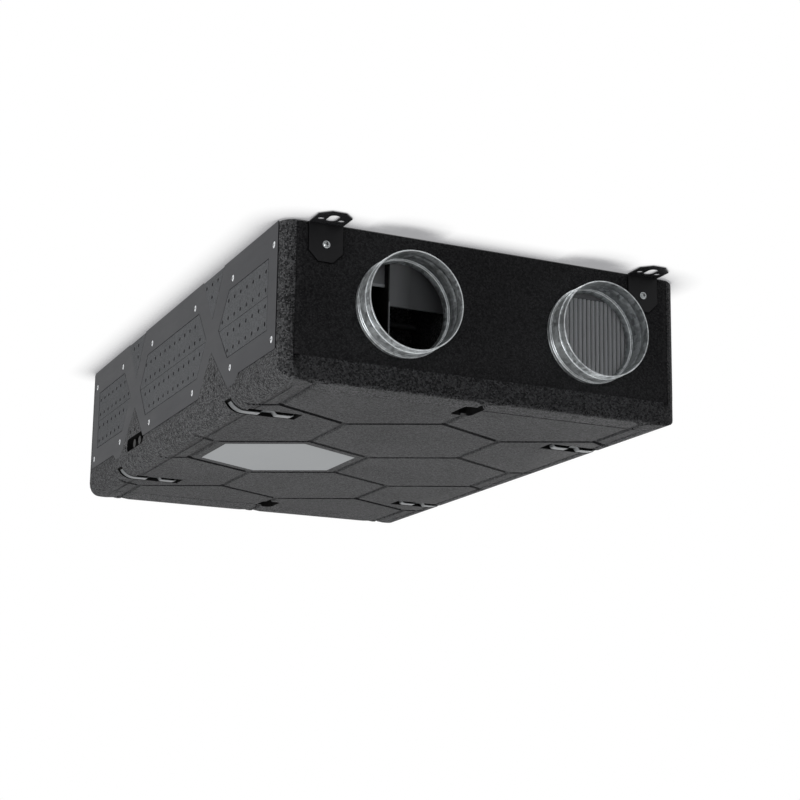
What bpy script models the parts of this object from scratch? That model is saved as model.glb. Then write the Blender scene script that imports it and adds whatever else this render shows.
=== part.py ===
# Flat ceiling-hung air handling unit: black foam housing, steel side plates, duct spigots.
# Frame: +Z up, -Y the end with the open duct spigots in view, origin under the middle of the base.
import math

import bmesh
import bpy
from mathutils import Matrix, Vector

# Body sizes, in metres
LENGTH = 1.130
WIDTH = 0.725
HEIGHT = 0.257
SEAM_DROP = 0.1125
SEAM_Z = HEIGHT - SEAM_DROP
EDGE_RADIUS = 0.033
BASE_RADIUS = 0.031
END_EDGE_RADIUS = 0.004
TOP_RADIUS = 0.003
FIT_GAP = 0.0003

# Smooth end panels let into the grainy shell
PANEL_INSET = 0.0235
PANEL_HALF = WIDTH / 2 - PANEL_INSET
PANEL_BELOW_SPIGOT = 0.096
PANEL_SETBACK = 0.0010

# Underside cover and its hexagon pattern
COVER_FRONT_MARGIN = 0.052
COVER_BACK_MARGIN = 0.082
COVER_FRONT = LENGTH / 2 - COVER_FRONT_MARGIN
COVER_BACK = LENGTH / 2 - COVER_BACK_MARGIN
COVER_MARGIN = 0.0425
COVER_WIDTH = WIDTH - 2 * COVER_MARGIN
COVER_THICKNESS = 0.030
COVER_CORNER = 0.012
COVER_GAP = 0.0004
SEAM_GROOVE_START = 0.006
SEAM_GROOVE_WIDTH = 0.0030
SEAM_GROOVE_DEPTH = 0.0030
HEX_EDGE = 0.025
HEX_PITCH = COVER_WIDTH / 2 - HEX_EDGE
HEX_STRETCH = 0.93
GROOVE_WIDTH = 0.012
GROOVE_DEPTH = 0.004
GROOVE_SLOPE = 0.003
BADGE_MARGIN = 0.0215
BADGE_WIDTH = HEX_PITCH - 2 * BADGE_MARGIN
BADGE_THICKNESS = 0.001
BADGE_PLAY = 0.0005
GRIP_LEFT = 0.026
GRIP_RIGHT = 0.012
GRIP_OUT = 0.016
GRIP_IN = 0.044
GRIP_DEPTH = 0.022
GRIP_CORNER = 0.008

# Duct spigots and what is behind them
SPIGOT_RADIUS = 0.080
SPIGOT_WALL = 0.0012
SPIGOT_REACH = 0.055
SPIGOT_SLEEVE = 0.028
SPIGOT_RISE = 0.007
SPIGOT_Z = HEIGHT / 2 + SPIGOT_RISE
PANEL_LOW_Z = SPIGOT_Z - PANEL_BELOW_SPIGOT
SPIGOT_INSET = 0.191
SPIGOT_SPREAD = WIDTH - 2 * SPIGOT_INSET
SPIGOT_SHIFT = 0.0145
SPIGOT_PLAY = 0.0008
BEAD_HEIGHT = 0.0028
BEAD_WIDTH = 0.0060
BEAD_SETBACKS = (0.0100, 0.0270)
RIM_ROLL = 0.0012
COLLAR_HEIGHT = 0.0045
COLLAR_WIDTH = 0.0060
TURN_STEPS = 40
CHAMBER_WIDTH = 0.176
CHAMBER_DEPTH = 0.120
CHAMBER_OVER_COVER = 0.018
CHAMBER_FLOOR_Z = COVER_THICKNESS + CHAMBER_OVER_COVER
CHAMBER_ROOF = 0.032
CHAMBER_TOP_Z = HEIGHT - CHAMBER_ROOF
CHAMBER_WALL = 0.034
FILTER_SETBACK = 0.042
FILTER_DEPTH = 0.040
PLEAT_PITCH = 0.0060
PLEAT_DEPTH = 0.0075
HOOD_SHEET = 0.0025
HOOD_DROP = 0.088
HOOD_RUN = 0.085
DIVIDER_OFFSET = 0.040

# Side plates
PLATE_SHEET = 0.0015
PLATE_RECESS = 0.0020
PLATE_END_MARGIN = 0.028
PLATE_SHIFT = -0.006
PLATE_LOW_Z = 0.050
LEDGE_LOW_Z = 0.040
PLATE_TIP_Z = 0.036
PLATE_TOP_MARGIN = 0.0005
PLATE_PLAY = 0.0005
CROSS_Y = 0.228
CROSS_RISE = 0.0195
CROSS_Z = HEIGHT / 2 + CROSS_RISE
WINDOW_DROP = 0.051
WINDOW_TOP_Z = HEIGHT - WINDOW_DROP
WINDOW_LOW_Z = 0.088
WINDOW_POINT = 0.198
WINDOW_FLAT = 0.155
OUTER_POINT = 0.262
OUTER_FLAT = 0.312
OUTER_END_MARGIN = 0.039
OUTER_END = LENGTH / 2 - PLATE_END_MARGIN - OUTER_END_MARGIN
NOTCH_TOP_HALF = 0.056
NOTCH_ABOVE_CROSS = 0.028
NOTCH_BELOW_CROSS = 0.030
NOTCH_TOP_APEX_Z = CROSS_Z + NOTCH_ABOVE_CROSS
NOTCH_LOW_APEX_Z = CROSS_Z - NOTCH_BELOW_CROSS
NOTCH_LOW_IN = 0.166
TIP_IN = 0.318
TIP_OUT = 0.350
TIP_END = 0.371

# Hanger brackets
BRACKET_INSET = 0.072
BRACKET_X = WIDTH / 2 - BRACKET_INSET
BRACKET_WIDTH = 0.057
BRACKET_SHEET = 0.0020
BRACKET_DROP = 0.064
BRACKET_REACH = 0.0545
BRACKET_CHAMFER = 0.0165
BRACKET_SLOT_MIDDLE = 0.0270
BRACKET_SLOT_LENGTH = 0.031
BRACKET_SLOT_WIDTH = 0.017
BRACKET_HOLE_MIDDLE = 0.0195
BRACKET_HOLE_RADIUS = 0.0055
BRACKET_HOLE_SPREAD = 0.034
SCREW_DROP = 0.036
SCREW_Z = HEIGHT - SCREW_DROP
SCREW_HEAD_RADIUS = 0.0070
SCREW_HEAD_HEIGHT = 0.0040
SCREW_FLANGE_HEIGHT = 0.0012
SCREW_CROWN_RADIUS = 0.0048
SCREW_SHANK_RADIUS = 0.0034
SCREW_SHANK_LENGTH = 0.017
SCREW_POINT_LENGTH = 0.020
SCREW_PLAY = 0.0004

# Cover straps
STRAP_INSET = 0.177
STRAP_Y = (COVER_FRONT + COVER_BACK) / 2 - STRAP_INSET
STRAP_SHIFT = 0.005
STRAP_WIDTH = 0.0165
STRAP_SHEET = 0.0015
STRAP_PAST_COVER = 0.032
STRAP_START = (COVER_WIDTH / 2 + STRAP_PAST_COVER, 0.0165)
STRAP_BEND_OUT = 0.0035
STRAP_BEND = COVER_WIDTH / 2 + STRAP_BEND_OUT
STRAP_DIP_INSET = 0.020
STRAP_DIP_LENGTH = 0.024
STRAP_DIP_OUT = COVER_WIDTH / 2 - STRAP_DIP_INSET
STRAP_DIP_IN = STRAP_DIP_OUT - STRAP_DIP_LENGTH
STRAP_DIP_RISE = 0.006
STRAP_TONGUE = 0.034
STRAP_END = STRAP_DIP_IN - STRAP_TONGUE
STRAP_CHANNEL_ROOM = 0.0025
STRAP_CHANNEL_LEAD = 0.0010
STRAP_POCKET_ROOM = 0.0095
STRAP_POCKET_LEAD = 0.006
STRAP_POCKET_IN = STRAP_END - STRAP_POCKET_LEAD
STRAP_POCKET_DEPTH = 0.012

# Cable entry in the left side
ENTRY_Y = 0.2105
ENTRY_LENGTH = 0.105
ENTRY_LOW_Z = 0.036
ENTRY_TOP_Z = 0.061
ENTRY_DEPTH = 0.030
ENTRY_CORNER = 0.009
GLAND_SPREAD = 0.034
GLAND_RADIUS = 0.0085
ENTRY_BLOCK_DEPTH = 0.012
GLAND_STAND = 0.0135
GLAND_ROOT = 0.0015

PARTS_NAME = "air_handling_unit"
CUTTERS_NAME = "cutters"

# How far a cutter starts below the base or outside a face
BELOW = 0.010

for leftover in list(bpy.data.objects):
    bpy.data.objects.remove(leftover)

parts = bpy.data.collections.new(PARTS_NAME)
cutters = bpy.data.collections.new(CUTTERS_NAME)
for collection in (parts, cutters):
    bpy.context.scene.collection.children.link(collection)


def material(name, color, roughness, metallic):
    shade = bpy.data.materials.new(name)
    shade.use_nodes = True
    surface = shade.node_tree.nodes["Principled BSDF"]
    surface.inputs["Base Color"].default_value = (*color, 1.0)
    surface.inputs["Roughness"].default_value = roughness
    surface.inputs["Metallic"].default_value = metallic
    return shade


FOAM = material("black_bead_foam", (0.020, 0.021, 0.022), 0.75, 0.0)
PANEL_FOAM = material("smooth_black_foam", (0.014, 0.014, 0.015), 0.60, 0.0)
COVER_FOAM = material("cover_bead_foam", (0.024, 0.025, 0.026), 0.72, 0.0)
PALE_PLATE = material("pale_plate", (0.26, 0.27, 0.28), 0.45, 0.0)
DARK_STEEL = material("dark_coated_steel", (0.030, 0.032, 0.036), 0.50, 0.4)
BRACKET_STEEL = material("black_bracket_steel", (0.012, 0.012, 0.013), 0.45, 0.3)
ZINC = material("galvanised_steel", (0.62, 0.65, 0.67), 0.30, 1.0)
SCREW_STEEL = material("screw_steel", (0.75, 0.76, 0.78), 0.25, 1.0)
STRAP_STEEL = material("strap_steel", (0.55, 0.57, 0.60), 0.32, 1.0)
FILTER_FIBRE = material("filter_fibre", (0.55, 0.56, 0.57), 0.95, 0.0)
HOOD_GREY = material("fan_housing_grey", (0.20, 0.20, 0.21), 0.45, 0.0)
BLACK_PLASTIC = material("black_plastic", (0.008, 0.008, 0.008), 0.50, 0.0)


def place(mesh, name, collection, shade=None, matrix=None):
    thing = bpy.data.objects.new(name, mesh)
    collection.objects.link(thing)
    if matrix is not None:
        mesh.transform(matrix)
    if shade is not None:
        mesh.materials.clear()
        mesh.materials.append(shade)
    if collection is cutters:
        thing.hide_render = True
        thing.display_type = "WIRE"
    return thing


def box(name, low, high, collection=cutters, shade=None):
    shape = bmesh.new()
    bmesh.ops.create_cube(shape, size=1.0)
    size = Vector(high) - Vector(low)
    middle = (Vector(high) + Vector(low)) / 2
    bmesh.ops.transform(shape, matrix=Matrix.Translation(middle) @ Matrix.Diagonal((*size, 1.0)), verts=shape.verts)
    mesh = bpy.data.meshes.new(name)
    shape.to_mesh(mesh)
    shape.free()
    return place(mesh, name, collection, shade)


def bevel_edges(thing, keep, width, segments):
    # Rounds the edges that the test keeps, with the mesh already at its full size.
    shape = bmesh.new()
    shape.from_mesh(thing.data)
    edges = [edge for edge in shape.edges if keep(edge.verts[0].co, edge.verts[1].co)]
    bmesh.ops.bevel(shape, geom=edges, offset=width, segments=segments, profile=0.5, affect="EDGES")
    shape.to_mesh(thing.data)
    shape.free()


def upright(a, b):
    return abs(a.x - b.x) < 1e-6 and abs(a.y - b.y) < 1e-6


def level_at(z):
    return lambda a, b: abs(a.z - z) < 1e-6 and abs(b.z - z) < 1e-6


def cylinder(name, radius, depth, matrix, collection=cutters, shade=None, steps=TURN_STEPS, top_radius=None):
    shape = bmesh.new()
    bmesh.ops.create_cone(shape, cap_ends=True, segments=steps, radius1=radius,
                          radius2=radius if top_radius is None else top_radius, depth=depth)
    mesh = bpy.data.meshes.new(name)
    shape.to_mesh(mesh)
    shape.free()
    return place(mesh, name, collection, shade, matrix)


def sheet(name, loops, thickness, matrix, collection=parts, shade=None):
    # A flat outline with its holes, drawn as a filled 2D curve and made a mesh with welded caps.
    curve = bpy.data.curves.new(name + "_outline", "CURVE")
    curve.dimensions = "2D"
    curve.fill_mode = "BOTH"
    curve.extrude = thickness / 2
    for loop in loops:
        spline = curve.splines.new("POLY")
        spline.points.add(len(loop) - 1)
        for point, (u, v) in zip(spline.points, loop):
            point.co = (u, v, 0.0, 1.0)
        spline.use_cyclic_u = True
    drawn = bpy.data.objects.new(name + "_outline", curve)
    bpy.context.scene.collection.objects.link(drawn)
    flat = bpy.data.meshes.new_from_object(drawn.evaluated_get(bpy.context.evaluated_depsgraph_get()))
    bpy.data.objects.remove(drawn)
    bpy.data.curves.remove(curve)
    shape = bmesh.new()
    shape.from_mesh(flat)
    bmesh.ops.remove_doubles(shape, verts=shape.verts, dist=1e-6)
    bmesh.ops.dissolve_limit(shape, angle_limit=0.001, verts=shape.verts, edges=shape.edges)
    bmesh.ops.recalc_face_normals(shape, faces=shape.faces)
    shape.to_mesh(flat)
    shape.free()
    flat.name = name
    thing = place(flat, name, collection, shade, matrix)
    if matrix.determinant() < 0:
        flat.flip_normals()
    return thing


# Turns a flat outline drawn as X and height to stand across the unit, its thickness along Y
ACROSS = Matrix(((1, 0, 0, 0), (0, 0, -1, 0), (0, 1, 0, 0), (0, 0, 0, 1)))


def boolean(thing, other, operation="DIFFERENCE"):
    step = thing.modifiers.new(other.name, "BOOLEAN")
    step.operation = operation
    step.solver = "EXACT"
    step.object = other
    return step


def arc(centre, radius, start, end, steps):
    return [(centre[0] + radius * math.cos(math.radians(start + (end - start) * i / steps)),
             centre[1] + radius * math.sin(math.radians(start + (end - start) * i / steps)))
            for i in range(steps + 1)]


def slot_outline(centre, length, width, steps=8):
    # An oblong hole, long along the second direction.
    reach = (length - width) / 2
    upper = arc((centre[0], centre[1] + reach), width / 2, 0, 180, steps)
    lower = arc((centre[0], centre[1] - reach), width / 2, 180, 360, steps)
    return upper + lower


# Directions: each end is the front turned about Z, so an end's own frame looks outwards along -Y
END_TURNS = {"front": 0.0, "back": math.pi}


def end_matrix(end):
    return Matrix.Rotation(END_TURNS[end], 4, "Z")


def corner_name(end, x):
    # The back end is turned about, so what is on its own left stands on the unit's right
    seen_x = x if end == "front" else -x
    return end + ("_left" if seen_x < 0 else "_right")


WALL_Y = -LENGTH / 2 + PANEL_SETBACK
CHAMBER_FRONT = WALL_Y + CHAMBER_WALL


# Foam housing
def housing_block(name, low_z, high_z):
    block = box(name, (-WIDTH / 2, -LENGTH / 2, low_z), (WIDTH / 2, LENGTH / 2, high_z), parts, FOAM)
    bevel_edges(block, upright, EDGE_RADIUS, 6)
    return block


housing_upper = housing_block("housing_upper", SEAM_Z + FIT_GAP / 2, HEIGHT)
bevel_edges(housing_upper, level_at(HEIGHT), TOP_RADIUS, 1)
housing_lower = housing_block("housing_lower", 0.0, SEAM_Z - FIT_GAP / 2)
bevel_edges(housing_lower, level_at(0.0), END_EDGE_RADIUS, 2)


# The long lower edges are fully rounded, the end ones stay nearly sharp
for sign in (-1, 1):
    centre = (sign * (WIDTH / 2 - BASE_RADIUS), BASE_RADIUS)
    turn = arc(centre, BASE_RADIUS, 270, 270 + 90 * sign, 6)
    outside = sign * (WIDTH / 2 + BELOW)
    rounding = sheet(f"side_rounding_{sign}", [turn + [(outside, BASE_RADIUS), (outside, -BELOW), (centre[0], -BELOW)]],
                     LENGTH + 2 * BELOW, ACROSS, cutters)
    boolean(housing_lower, rounding)


# End panels, each in two halves that meet at the housing's own seam
def end_panel(end, level, low_z, high_z):
    radius = EDGE_RADIUS - PANEL_SETBACK
    centre = (WIDTH / 2 - EDGE_RADIUS, -LENGTH / 2 + EDGE_RADIUS)
    swing = math.degrees(math.asin((PANEL_HALF - centre[0]) / radius))
    back = CHAMBER_FRONT - FIT_GAP
    outline = ([(-PANEL_HALF, back)] + arc((-centre[0], centre[1]), radius, 270 - swing, 270, 4)
               + arc(centre, radius, 270, 270 + swing, 4) + [(PANEL_HALF, back)])
    panel = sheet(f"end_panel_{end}_{level}", [outline], high_z - low_z,
                  Matrix.Translation((0.0, 0.0, (low_z + high_z) / 2)), parts, PANEL_FOAM)
    bevel_edges(panel, lambda a, b: level_at(HEIGHT)(a, b) and max(a.y, b.y) < centre[1], TOP_RADIUS, 1)
    panel.data.transform(end_matrix(end))
    return panel


end_panels = {}
for end in END_TURNS:
    end_panels[end] = {"upper": end_panel(end, "upper", SEAM_Z + FIT_GAP / 2, HEIGHT),
                       "lower": end_panel(end, "lower", PANEL_LOW_Z, SEAM_Z - FIT_GAP / 2)}
    panel_seat = box("panel_seat_" + end, (-PANEL_HALF - FIT_GAP, -LENGTH / 2 - BELOW, PANEL_LOW_Z - FIT_GAP),
                     (PANEL_HALF + FIT_GAP, CHAMBER_FRONT, HEIGHT + BELOW))
    panel_seat.data.transform(end_matrix(end))
    boolean(housing_upper, panel_seat)
    boolean(housing_lower, panel_seat)

# Hexagon grooves: a slab less its hexagon plates, cut from the housing and from the cover
HEX_SIDE = HEX_PITCH / math.sqrt(3) * HEX_STRETCH
HEX_ROW = 1.5 * HEX_SIDE


def hexagon(width, side, shrink=0.0):
    half = width / 2 - shrink
    reach = side - shrink * side / (width / 2)
    return [(0, -reach), (half, -reach / 2), (half, reach / 2), (0, reach), (-half, reach / 2), (-half, -reach / 2)]


def hexagon_plates():
    shape = bmesh.new()
    for row in range(-3, 4):
        for column in range(-2, 3):
            shift = HEX_PITCH / 2 if row % 2 == 0 else 0.0
            centre = Vector((column * HEX_PITCH + shift, row * HEX_ROW, 0.0))
            low = [shape.verts.new((centre.x + u, centre.y + v, -GROOVE_DEPTH))
                   for u, v in hexagon(HEX_PITCH, HEX_SIDE, GROOVE_WIDTH / 2 + GROOVE_SLOPE / 2)]
            high = [shape.verts.new((centre.x + u, centre.y + v, GROOVE_DEPTH + GROOVE_SLOPE))
                    for u, v in hexagon(HEX_PITCH, HEX_SIDE, GROOVE_WIDTH / 2 - GROOVE_SLOPE)]
            shape.faces.new(reversed(low))
            shape.faces.new(high)
            for i in range(6):
                j = (i + 1) % 6
                shape.faces.new((low[i], low[j], high[j], high[i]))
    bmesh.ops.recalc_face_normals(shape, faces=shape.faces)
    mesh = bpy.data.meshes.new("hexagon_plates")
    shape.to_mesh(mesh)
    shape.free()
    return place(mesh, "hexagon_plates", cutters)


plates = hexagon_plates()
grooves = box("hexagon_grooves", (-WIDTH, -LENGTH, -GROOVE_DEPTH / 2), (WIDTH, LENGTH, GROOVE_DEPTH))
boolean(grooves, plates)

# Service cover in its recess, with a hairline gap all round
cover_low = (-COVER_WIDTH / 2, -COVER_FRONT, 0.0)
cover_high = (COVER_WIDTH / 2, COVER_BACK, COVER_THICKNESS)
service_cover = box("service_cover", cover_low, cover_high, parts, COVER_FOAM)
bevel_edges(service_cover, upright, COVER_CORNER, 3)
recess = box("cover_recess", (cover_low[0] - COVER_GAP, cover_low[1] - COVER_GAP, -BELOW),
             (cover_high[0] + COVER_GAP, cover_high[1] + COVER_GAP, COVER_THICKNESS + FIT_GAP))
bevel_edges(recess, upright, COVER_CORNER + COVER_GAP, 3)
boolean(housing_lower, recess)
boolean(housing_lower, grooves)
boolean(service_cover, grooves)

# Half of each end seam opens into a groove, and a finger grip crosses the seam at the middle
COVER_ENDS = {"front": COVER_FRONT, "back": COVER_BACK}
for end, edge in COVER_ENDS.items():
    seam_groove = box("seam_groove_" + end, (SEAM_GROOVE_START, -edge - SEAM_GROOVE_WIDTH / 2, -BELOW),
                      (COVER_WIDTH / 2, -edge + SEAM_GROOVE_WIDTH / 2, SEAM_GROOVE_DEPTH))
    grip = box("finger_grip_" + end, (-GRIP_LEFT, -edge - GRIP_OUT, -BELOW),
               (GRIP_RIGHT, -edge + GRIP_IN, GRIP_DEPTH))
    bevel_edges(grip, upright, GRIP_CORNER, 2)
    for cutter in (seam_groove, grip):
        cutter.data.transform(end_matrix(end))
        boolean(housing_lower, cutter)
        boolean(service_cover, cutter)

# Pale plate in one hexagon, seated in a shallow pocket of the cover
BADGE_SIDE = BADGE_WIDTH / math.sqrt(3) * HEX_STRETCH
badge_place = Matrix.Translation((-HEX_PITCH / 2, 0.0, BADGE_THICKNESS / 2))
sheet("hexagon_plate", [hexagon(BADGE_WIDTH, BADGE_SIDE)], BADGE_THICKNESS, badge_place, parts, PALE_PLATE)
badge_pocket = sheet("badge_pocket", [hexagon(BADGE_WIDTH, BADGE_SIDE, -BADGE_PLAY)],
                     2 * (BADGE_THICKNESS + FIT_GAP), Matrix.Translation((-HEX_PITCH / 2, 0.0, 0.0)), cutters)
boolean(service_cover, badge_pocket)


# Side plates: one outline with three windows, mirrored for the other side
def mirrored(points):
    return [(-u, v) for u, v in reversed(points)]


def side_plate_loops(grow=0.0):
    end = LENGTH / 2 - PLATE_END_MARGIN + grow
    top = HEIGHT - PLATE_TOP_MARGIN + grow
    low = PLATE_LOW_Z - grow
    tip = PLATE_TIP_Z - grow
    lower = [(end, top), (end, low), (TIP_END, low), (TIP_OUT, tip), (TIP_IN, tip),
             (CROSS_Y, NOTCH_LOW_APEX_Z), (NOTCH_LOW_IN, low)]
    upper = [(CROSS_Y - NOTCH_TOP_HALF, top), (CROSS_Y, NOTCH_TOP_APEX_Z), (CROSS_Y + NOTCH_TOP_HALF, top)]
    outer = lower + mirrored(lower) + mirrored(upper) + upper
    middle = [(-WINDOW_POINT, CROSS_Z), (-WINDOW_FLAT, WINDOW_LOW_Z), (WINDOW_FLAT, WINDOW_LOW_Z),
              (WINDOW_POINT, CROSS_Z), (WINDOW_FLAT, WINDOW_TOP_Z), (-WINDOW_FLAT, WINDOW_TOP_Z)]
    outer_window = [(OUTER_POINT, CROSS_Z), (OUTER_FLAT, WINDOW_LOW_Z), (OUTER_END, WINDOW_LOW_Z),
                    (OUTER_END, WINDOW_TOP_Z), (OUTER_FLAT, WINDOW_TOP_Z)]
    return [outer, middle, outer_window, mirrored(outer_window)]


# Foam under the plate's lower edge slopes out to the full width, clear of the legs and their notches
LEDGE_SPANS = ((-LENGTH / 2, -TIP_END), (-NOTCH_LOW_IN, NOTCH_LOW_IN), (TIP_END, LENGTH / 2))
SIDES = {"left": -1.0, "right": 1.0}
for side, sign in SIDES.items():
    # The sheet's own plane is turned upright: first direction to Y, second to Z
    upright_turn = Matrix(((0, 0, sign, 0), (1, 0, 0, 0), (0, 1, 0, 0), (0, 0, 0, 1)))
    face_x = sign * (WIDTH / 2 - PLATE_RECESS + FIT_GAP + PLATE_SHEET / 2)
    sheet("side_plate_" + side, side_plate_loops(), PLATE_SHEET,
          Matrix.Translation((face_x, PLATE_SHIFT, 0.0)) @ upright_turn, parts, DARK_STEEL)
    pocket_outline = side_plate_loops(PLATE_PLAY)[0]
    pocket = sheet("side_pocket_" + side, [pocket_outline], 2 * PLATE_RECESS,
                   Matrix.Translation((sign * WIDTH / 2, PLATE_SHIFT, 0.0)) @ upright_turn, cutters)
    boolean(housing_upper, pocket)
    boolean(housing_lower, pocket)
    for number, (near, far) in enumerate(LEDGE_SPANS):
        slope = [(sign * (WIDTH / 2 - PLATE_RECESS), PLATE_LOW_Z), (sign * WIDTH / 2, LEDGE_LOW_Z),
                 (sign * (WIDTH / 2 + BELOW), LEDGE_LOW_Z), (sign * (WIDTH / 2 + BELOW), PLATE_LOW_Z)]
        ledge = sheet(f"ledge_{side}_{number}", [slope], far - near,
                      Matrix.Translation((0.0, PLATE_SHIFT + (near + far) / 2, 0.0)) @ ACROSS, cutters)
        boolean(housing_lower, ledge)


# Duct spigots: a turned profile with a rolled rim, two beads and a collar at the wall
def spigot_profile():
    # Distance from the wall plane (outwards is negative, along -Y) against radius
    outer = SPIGOT_RADIUS
    inner = SPIGOT_RADIUS - SPIGOT_WALL
    bead = BEAD_WIDTH / 2
    rim = -SPIGOT_REACH
    bead_places = [rim + setback for setback in BEAD_SETBACKS]
    points = [(rim, outer), (rim + RIM_ROLL / 2, outer + RIM_ROLL), (rim + 2 * RIM_ROLL, outer + RIM_ROLL),
              (rim + 3 * RIM_ROLL, outer)]
    for middle in bead_places:
        points += [(middle - bead, outer), (middle - bead / 2, outer + BEAD_HEIGHT),
                   (middle + bead / 2, outer + BEAD_HEIGHT), (middle + bead, outer)]
    points += [(-COLLAR_WIDTH, outer), (-COLLAR_WIDTH * 0.6, outer + COLLAR_HEIGHT),
               (-FIT_GAP, outer + COLLAR_HEIGHT), (-FIT_GAP, outer - SPIGOT_PLAY),
               (SPIGOT_SLEEVE, outer - SPIGOT_PLAY), (SPIGOT_SLEEVE, inner - SPIGOT_PLAY)]
    for middle in reversed(bead_places):
        points += [(middle + bead, inner), (middle + bead / 2, inner + BEAD_HEIGHT),
                   (middle - bead / 2, inner + BEAD_HEIGHT), (middle - bead, inner)]
    points += [(rim, inner)]
    return points


def spigot(name, matrix):
    shape = bmesh.new()
    profile = [shape.verts.new((radius, along, 0.0)) for along, radius in spigot_profile()]
    loop = [shape.edges.new((profile[i], profile[(i + 1) % len(profile)])) for i in range(len(profile))]
    bmesh.ops.spin(shape, geom=profile + loop, cent=(0, 0, 0), axis=(0, 1, 0), dvec=(0, 0, 0),
                   angle=math.tau, steps=TURN_STEPS, use_merge=True)
    bmesh.ops.remove_doubles(shape, verts=shape.verts, dist=1e-6)
    bmesh.ops.recalc_face_normals(shape, faces=shape.faces)
    mesh = bpy.data.meshes.new(name)
    shape.to_mesh(mesh)
    shape.free()
    mesh.shade_smooth()
    mesh.set_sharp_from_angle(angle=math.radians(40))
    return place(mesh, name, parts, ZINC, matrix)


SPIGOT_X = {"left": SPIGOT_SHIFT - SPIGOT_SPREAD / 2, "right": SPIGOT_SHIFT + SPIGOT_SPREAD / 2}
FILTER_FRONT = CHAMBER_FRONT + FILTER_SETBACK
TURN_ALONG = Matrix.Rotation(math.pi / 2, 4, "X")


def duct_bore(end, name, x, chamber_back, matrix):
    depth = CHAMBER_WALL + 2 * BELOW
    middle = Matrix.Translation((x, WALL_Y + CHAMBER_WALL / 2, SPIGOT_Z))
    bore = cylinder("bore_" + name, SPIGOT_RADIUS, depth, matrix @ middle @ TURN_ALONG)
    chamber = box("chamber_" + name, (x - CHAMBER_WIDTH / 2, CHAMBER_FRONT - BELOW, CHAMBER_FLOOR_Z),
                  (x + CHAMBER_WIDTH / 2, chamber_back, CHAMBER_TOP_Z))
    chamber.data.transform(matrix)
    for panel in end_panels[end].values():
        boolean(panel, bore)
    for shell in (housing_upper, housing_lower):
        boolean(shell, chamber)


# Pleated filter: a folded front, flat at the back, standing across its chamber
def filter_pack(name, x, matrix):
    half = CHAMBER_WIDTH / 2 - FIT_GAP
    count = int(2 * half / PLEAT_PITCH)
    pitch = 2 * half / count
    folds = [(-half + pitch * i / 2, FILTER_FRONT + (PLEAT_DEPTH if i % 2 else 0.0)) for i in range(2 * count + 1)]
    back = FILTER_FRONT + FILTER_DEPTH
    height = CHAMBER_TOP_Z - CHAMBER_FLOOR_Z - 2 * FIT_GAP
    middle = Matrix.Translation((x, 0.0, (CHAMBER_TOP_Z + CHAMBER_FLOOR_Z) / 2))
    return sheet(name, [folds + [(half, back), (-half, back)]], height, matrix @ middle, parts, FILTER_FIBRE)


# Fan housing in the other chamber: an upright divider and a hood that curves down and back
def fan_divider(name, x, matrix):
    low = (x - DIVIDER_OFFSET - HOOD_SHEET / 2, CHAMBER_FRONT + FIT_GAP, CHAMBER_FLOOR_Z + FIT_GAP)
    high = (x - DIVIDER_OFFSET + HOOD_SHEET / 2, CHAMBER_FRONT + CHAMBER_DEPTH - FIT_GAP, CHAMBER_TOP_Z - FIT_GAP)
    divider = box(name, low, high, parts, BLACK_PLASTIC)
    divider.data.transform(matrix)


def fan_hood(name, x, matrix):
    # A quarter of an ellipse, flat under the chamber's roof at the front and upright at its lower edge
    base = CHAMBER_TOP_Z - FIT_GAP - HOOD_DROP
    front = CHAMBER_FRONT + FIT_GAP
    turn = arc((0.0, 0.0), 1.0, 90, 0, 10)
    outer = [(front + u * HOOD_RUN, base + v * HOOD_DROP) for u, v in turn]
    inner = [(front + u * (HOOD_RUN - HOOD_SHEET), base + v * (HOOD_DROP - HOOD_SHEET)) for u, v in reversed(turn)]
    left = x - DIVIDER_OFFSET + HOOD_SHEET / 2 + FIT_GAP
    right = x + CHAMBER_WIDTH / 2 - FIT_GAP
    turn_across = Matrix(((0, 0, 1, (left + right) / 2), (1, 0, 0, 0), (0, 1, 0, 0), (0, 0, 0, 1)))
    return sheet(name, [outer + inner], right - left, matrix @ turn_across, parts, HOOD_GREY)


CHAMBER_BACKS = {"left": CHAMBER_FRONT + CHAMBER_DEPTH, "right": FILTER_FRONT + FILTER_DEPTH + FIT_GAP}
for end in END_TURNS:
    outwards = end_matrix(end)
    for hand, x in SPIGOT_X.items():
        label = corner_name(end, x)
        spigot("spigot_" + label, outwards @ Matrix.Translation((x, WALL_Y, SPIGOT_Z)))
        duct_bore(end, label, x, CHAMBER_BACKS[hand], outwards)
    filter_pack("filter_pack_" + end, SPIGOT_X["right"], outwards)
    fan_divider("fan_divider_" + end, SPIGOT_X["left"], outwards)
    fan_hood("fan_hood_" + end, SPIGOT_X["left"], outwards)


# Hanger brackets: a folded strip with a chamfered drop leg and a slotted hanging tab
def chamfered_leg(length, root):
    half = BRACKET_WIDTH / 2
    return [(-half, root), (-half, length - BRACKET_CHAMFER), (-half + BRACKET_CHAMFER, length),
            (half - BRACKET_CHAMFER, length), (half, length - BRACKET_CHAMFER), (half, root)]


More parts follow.
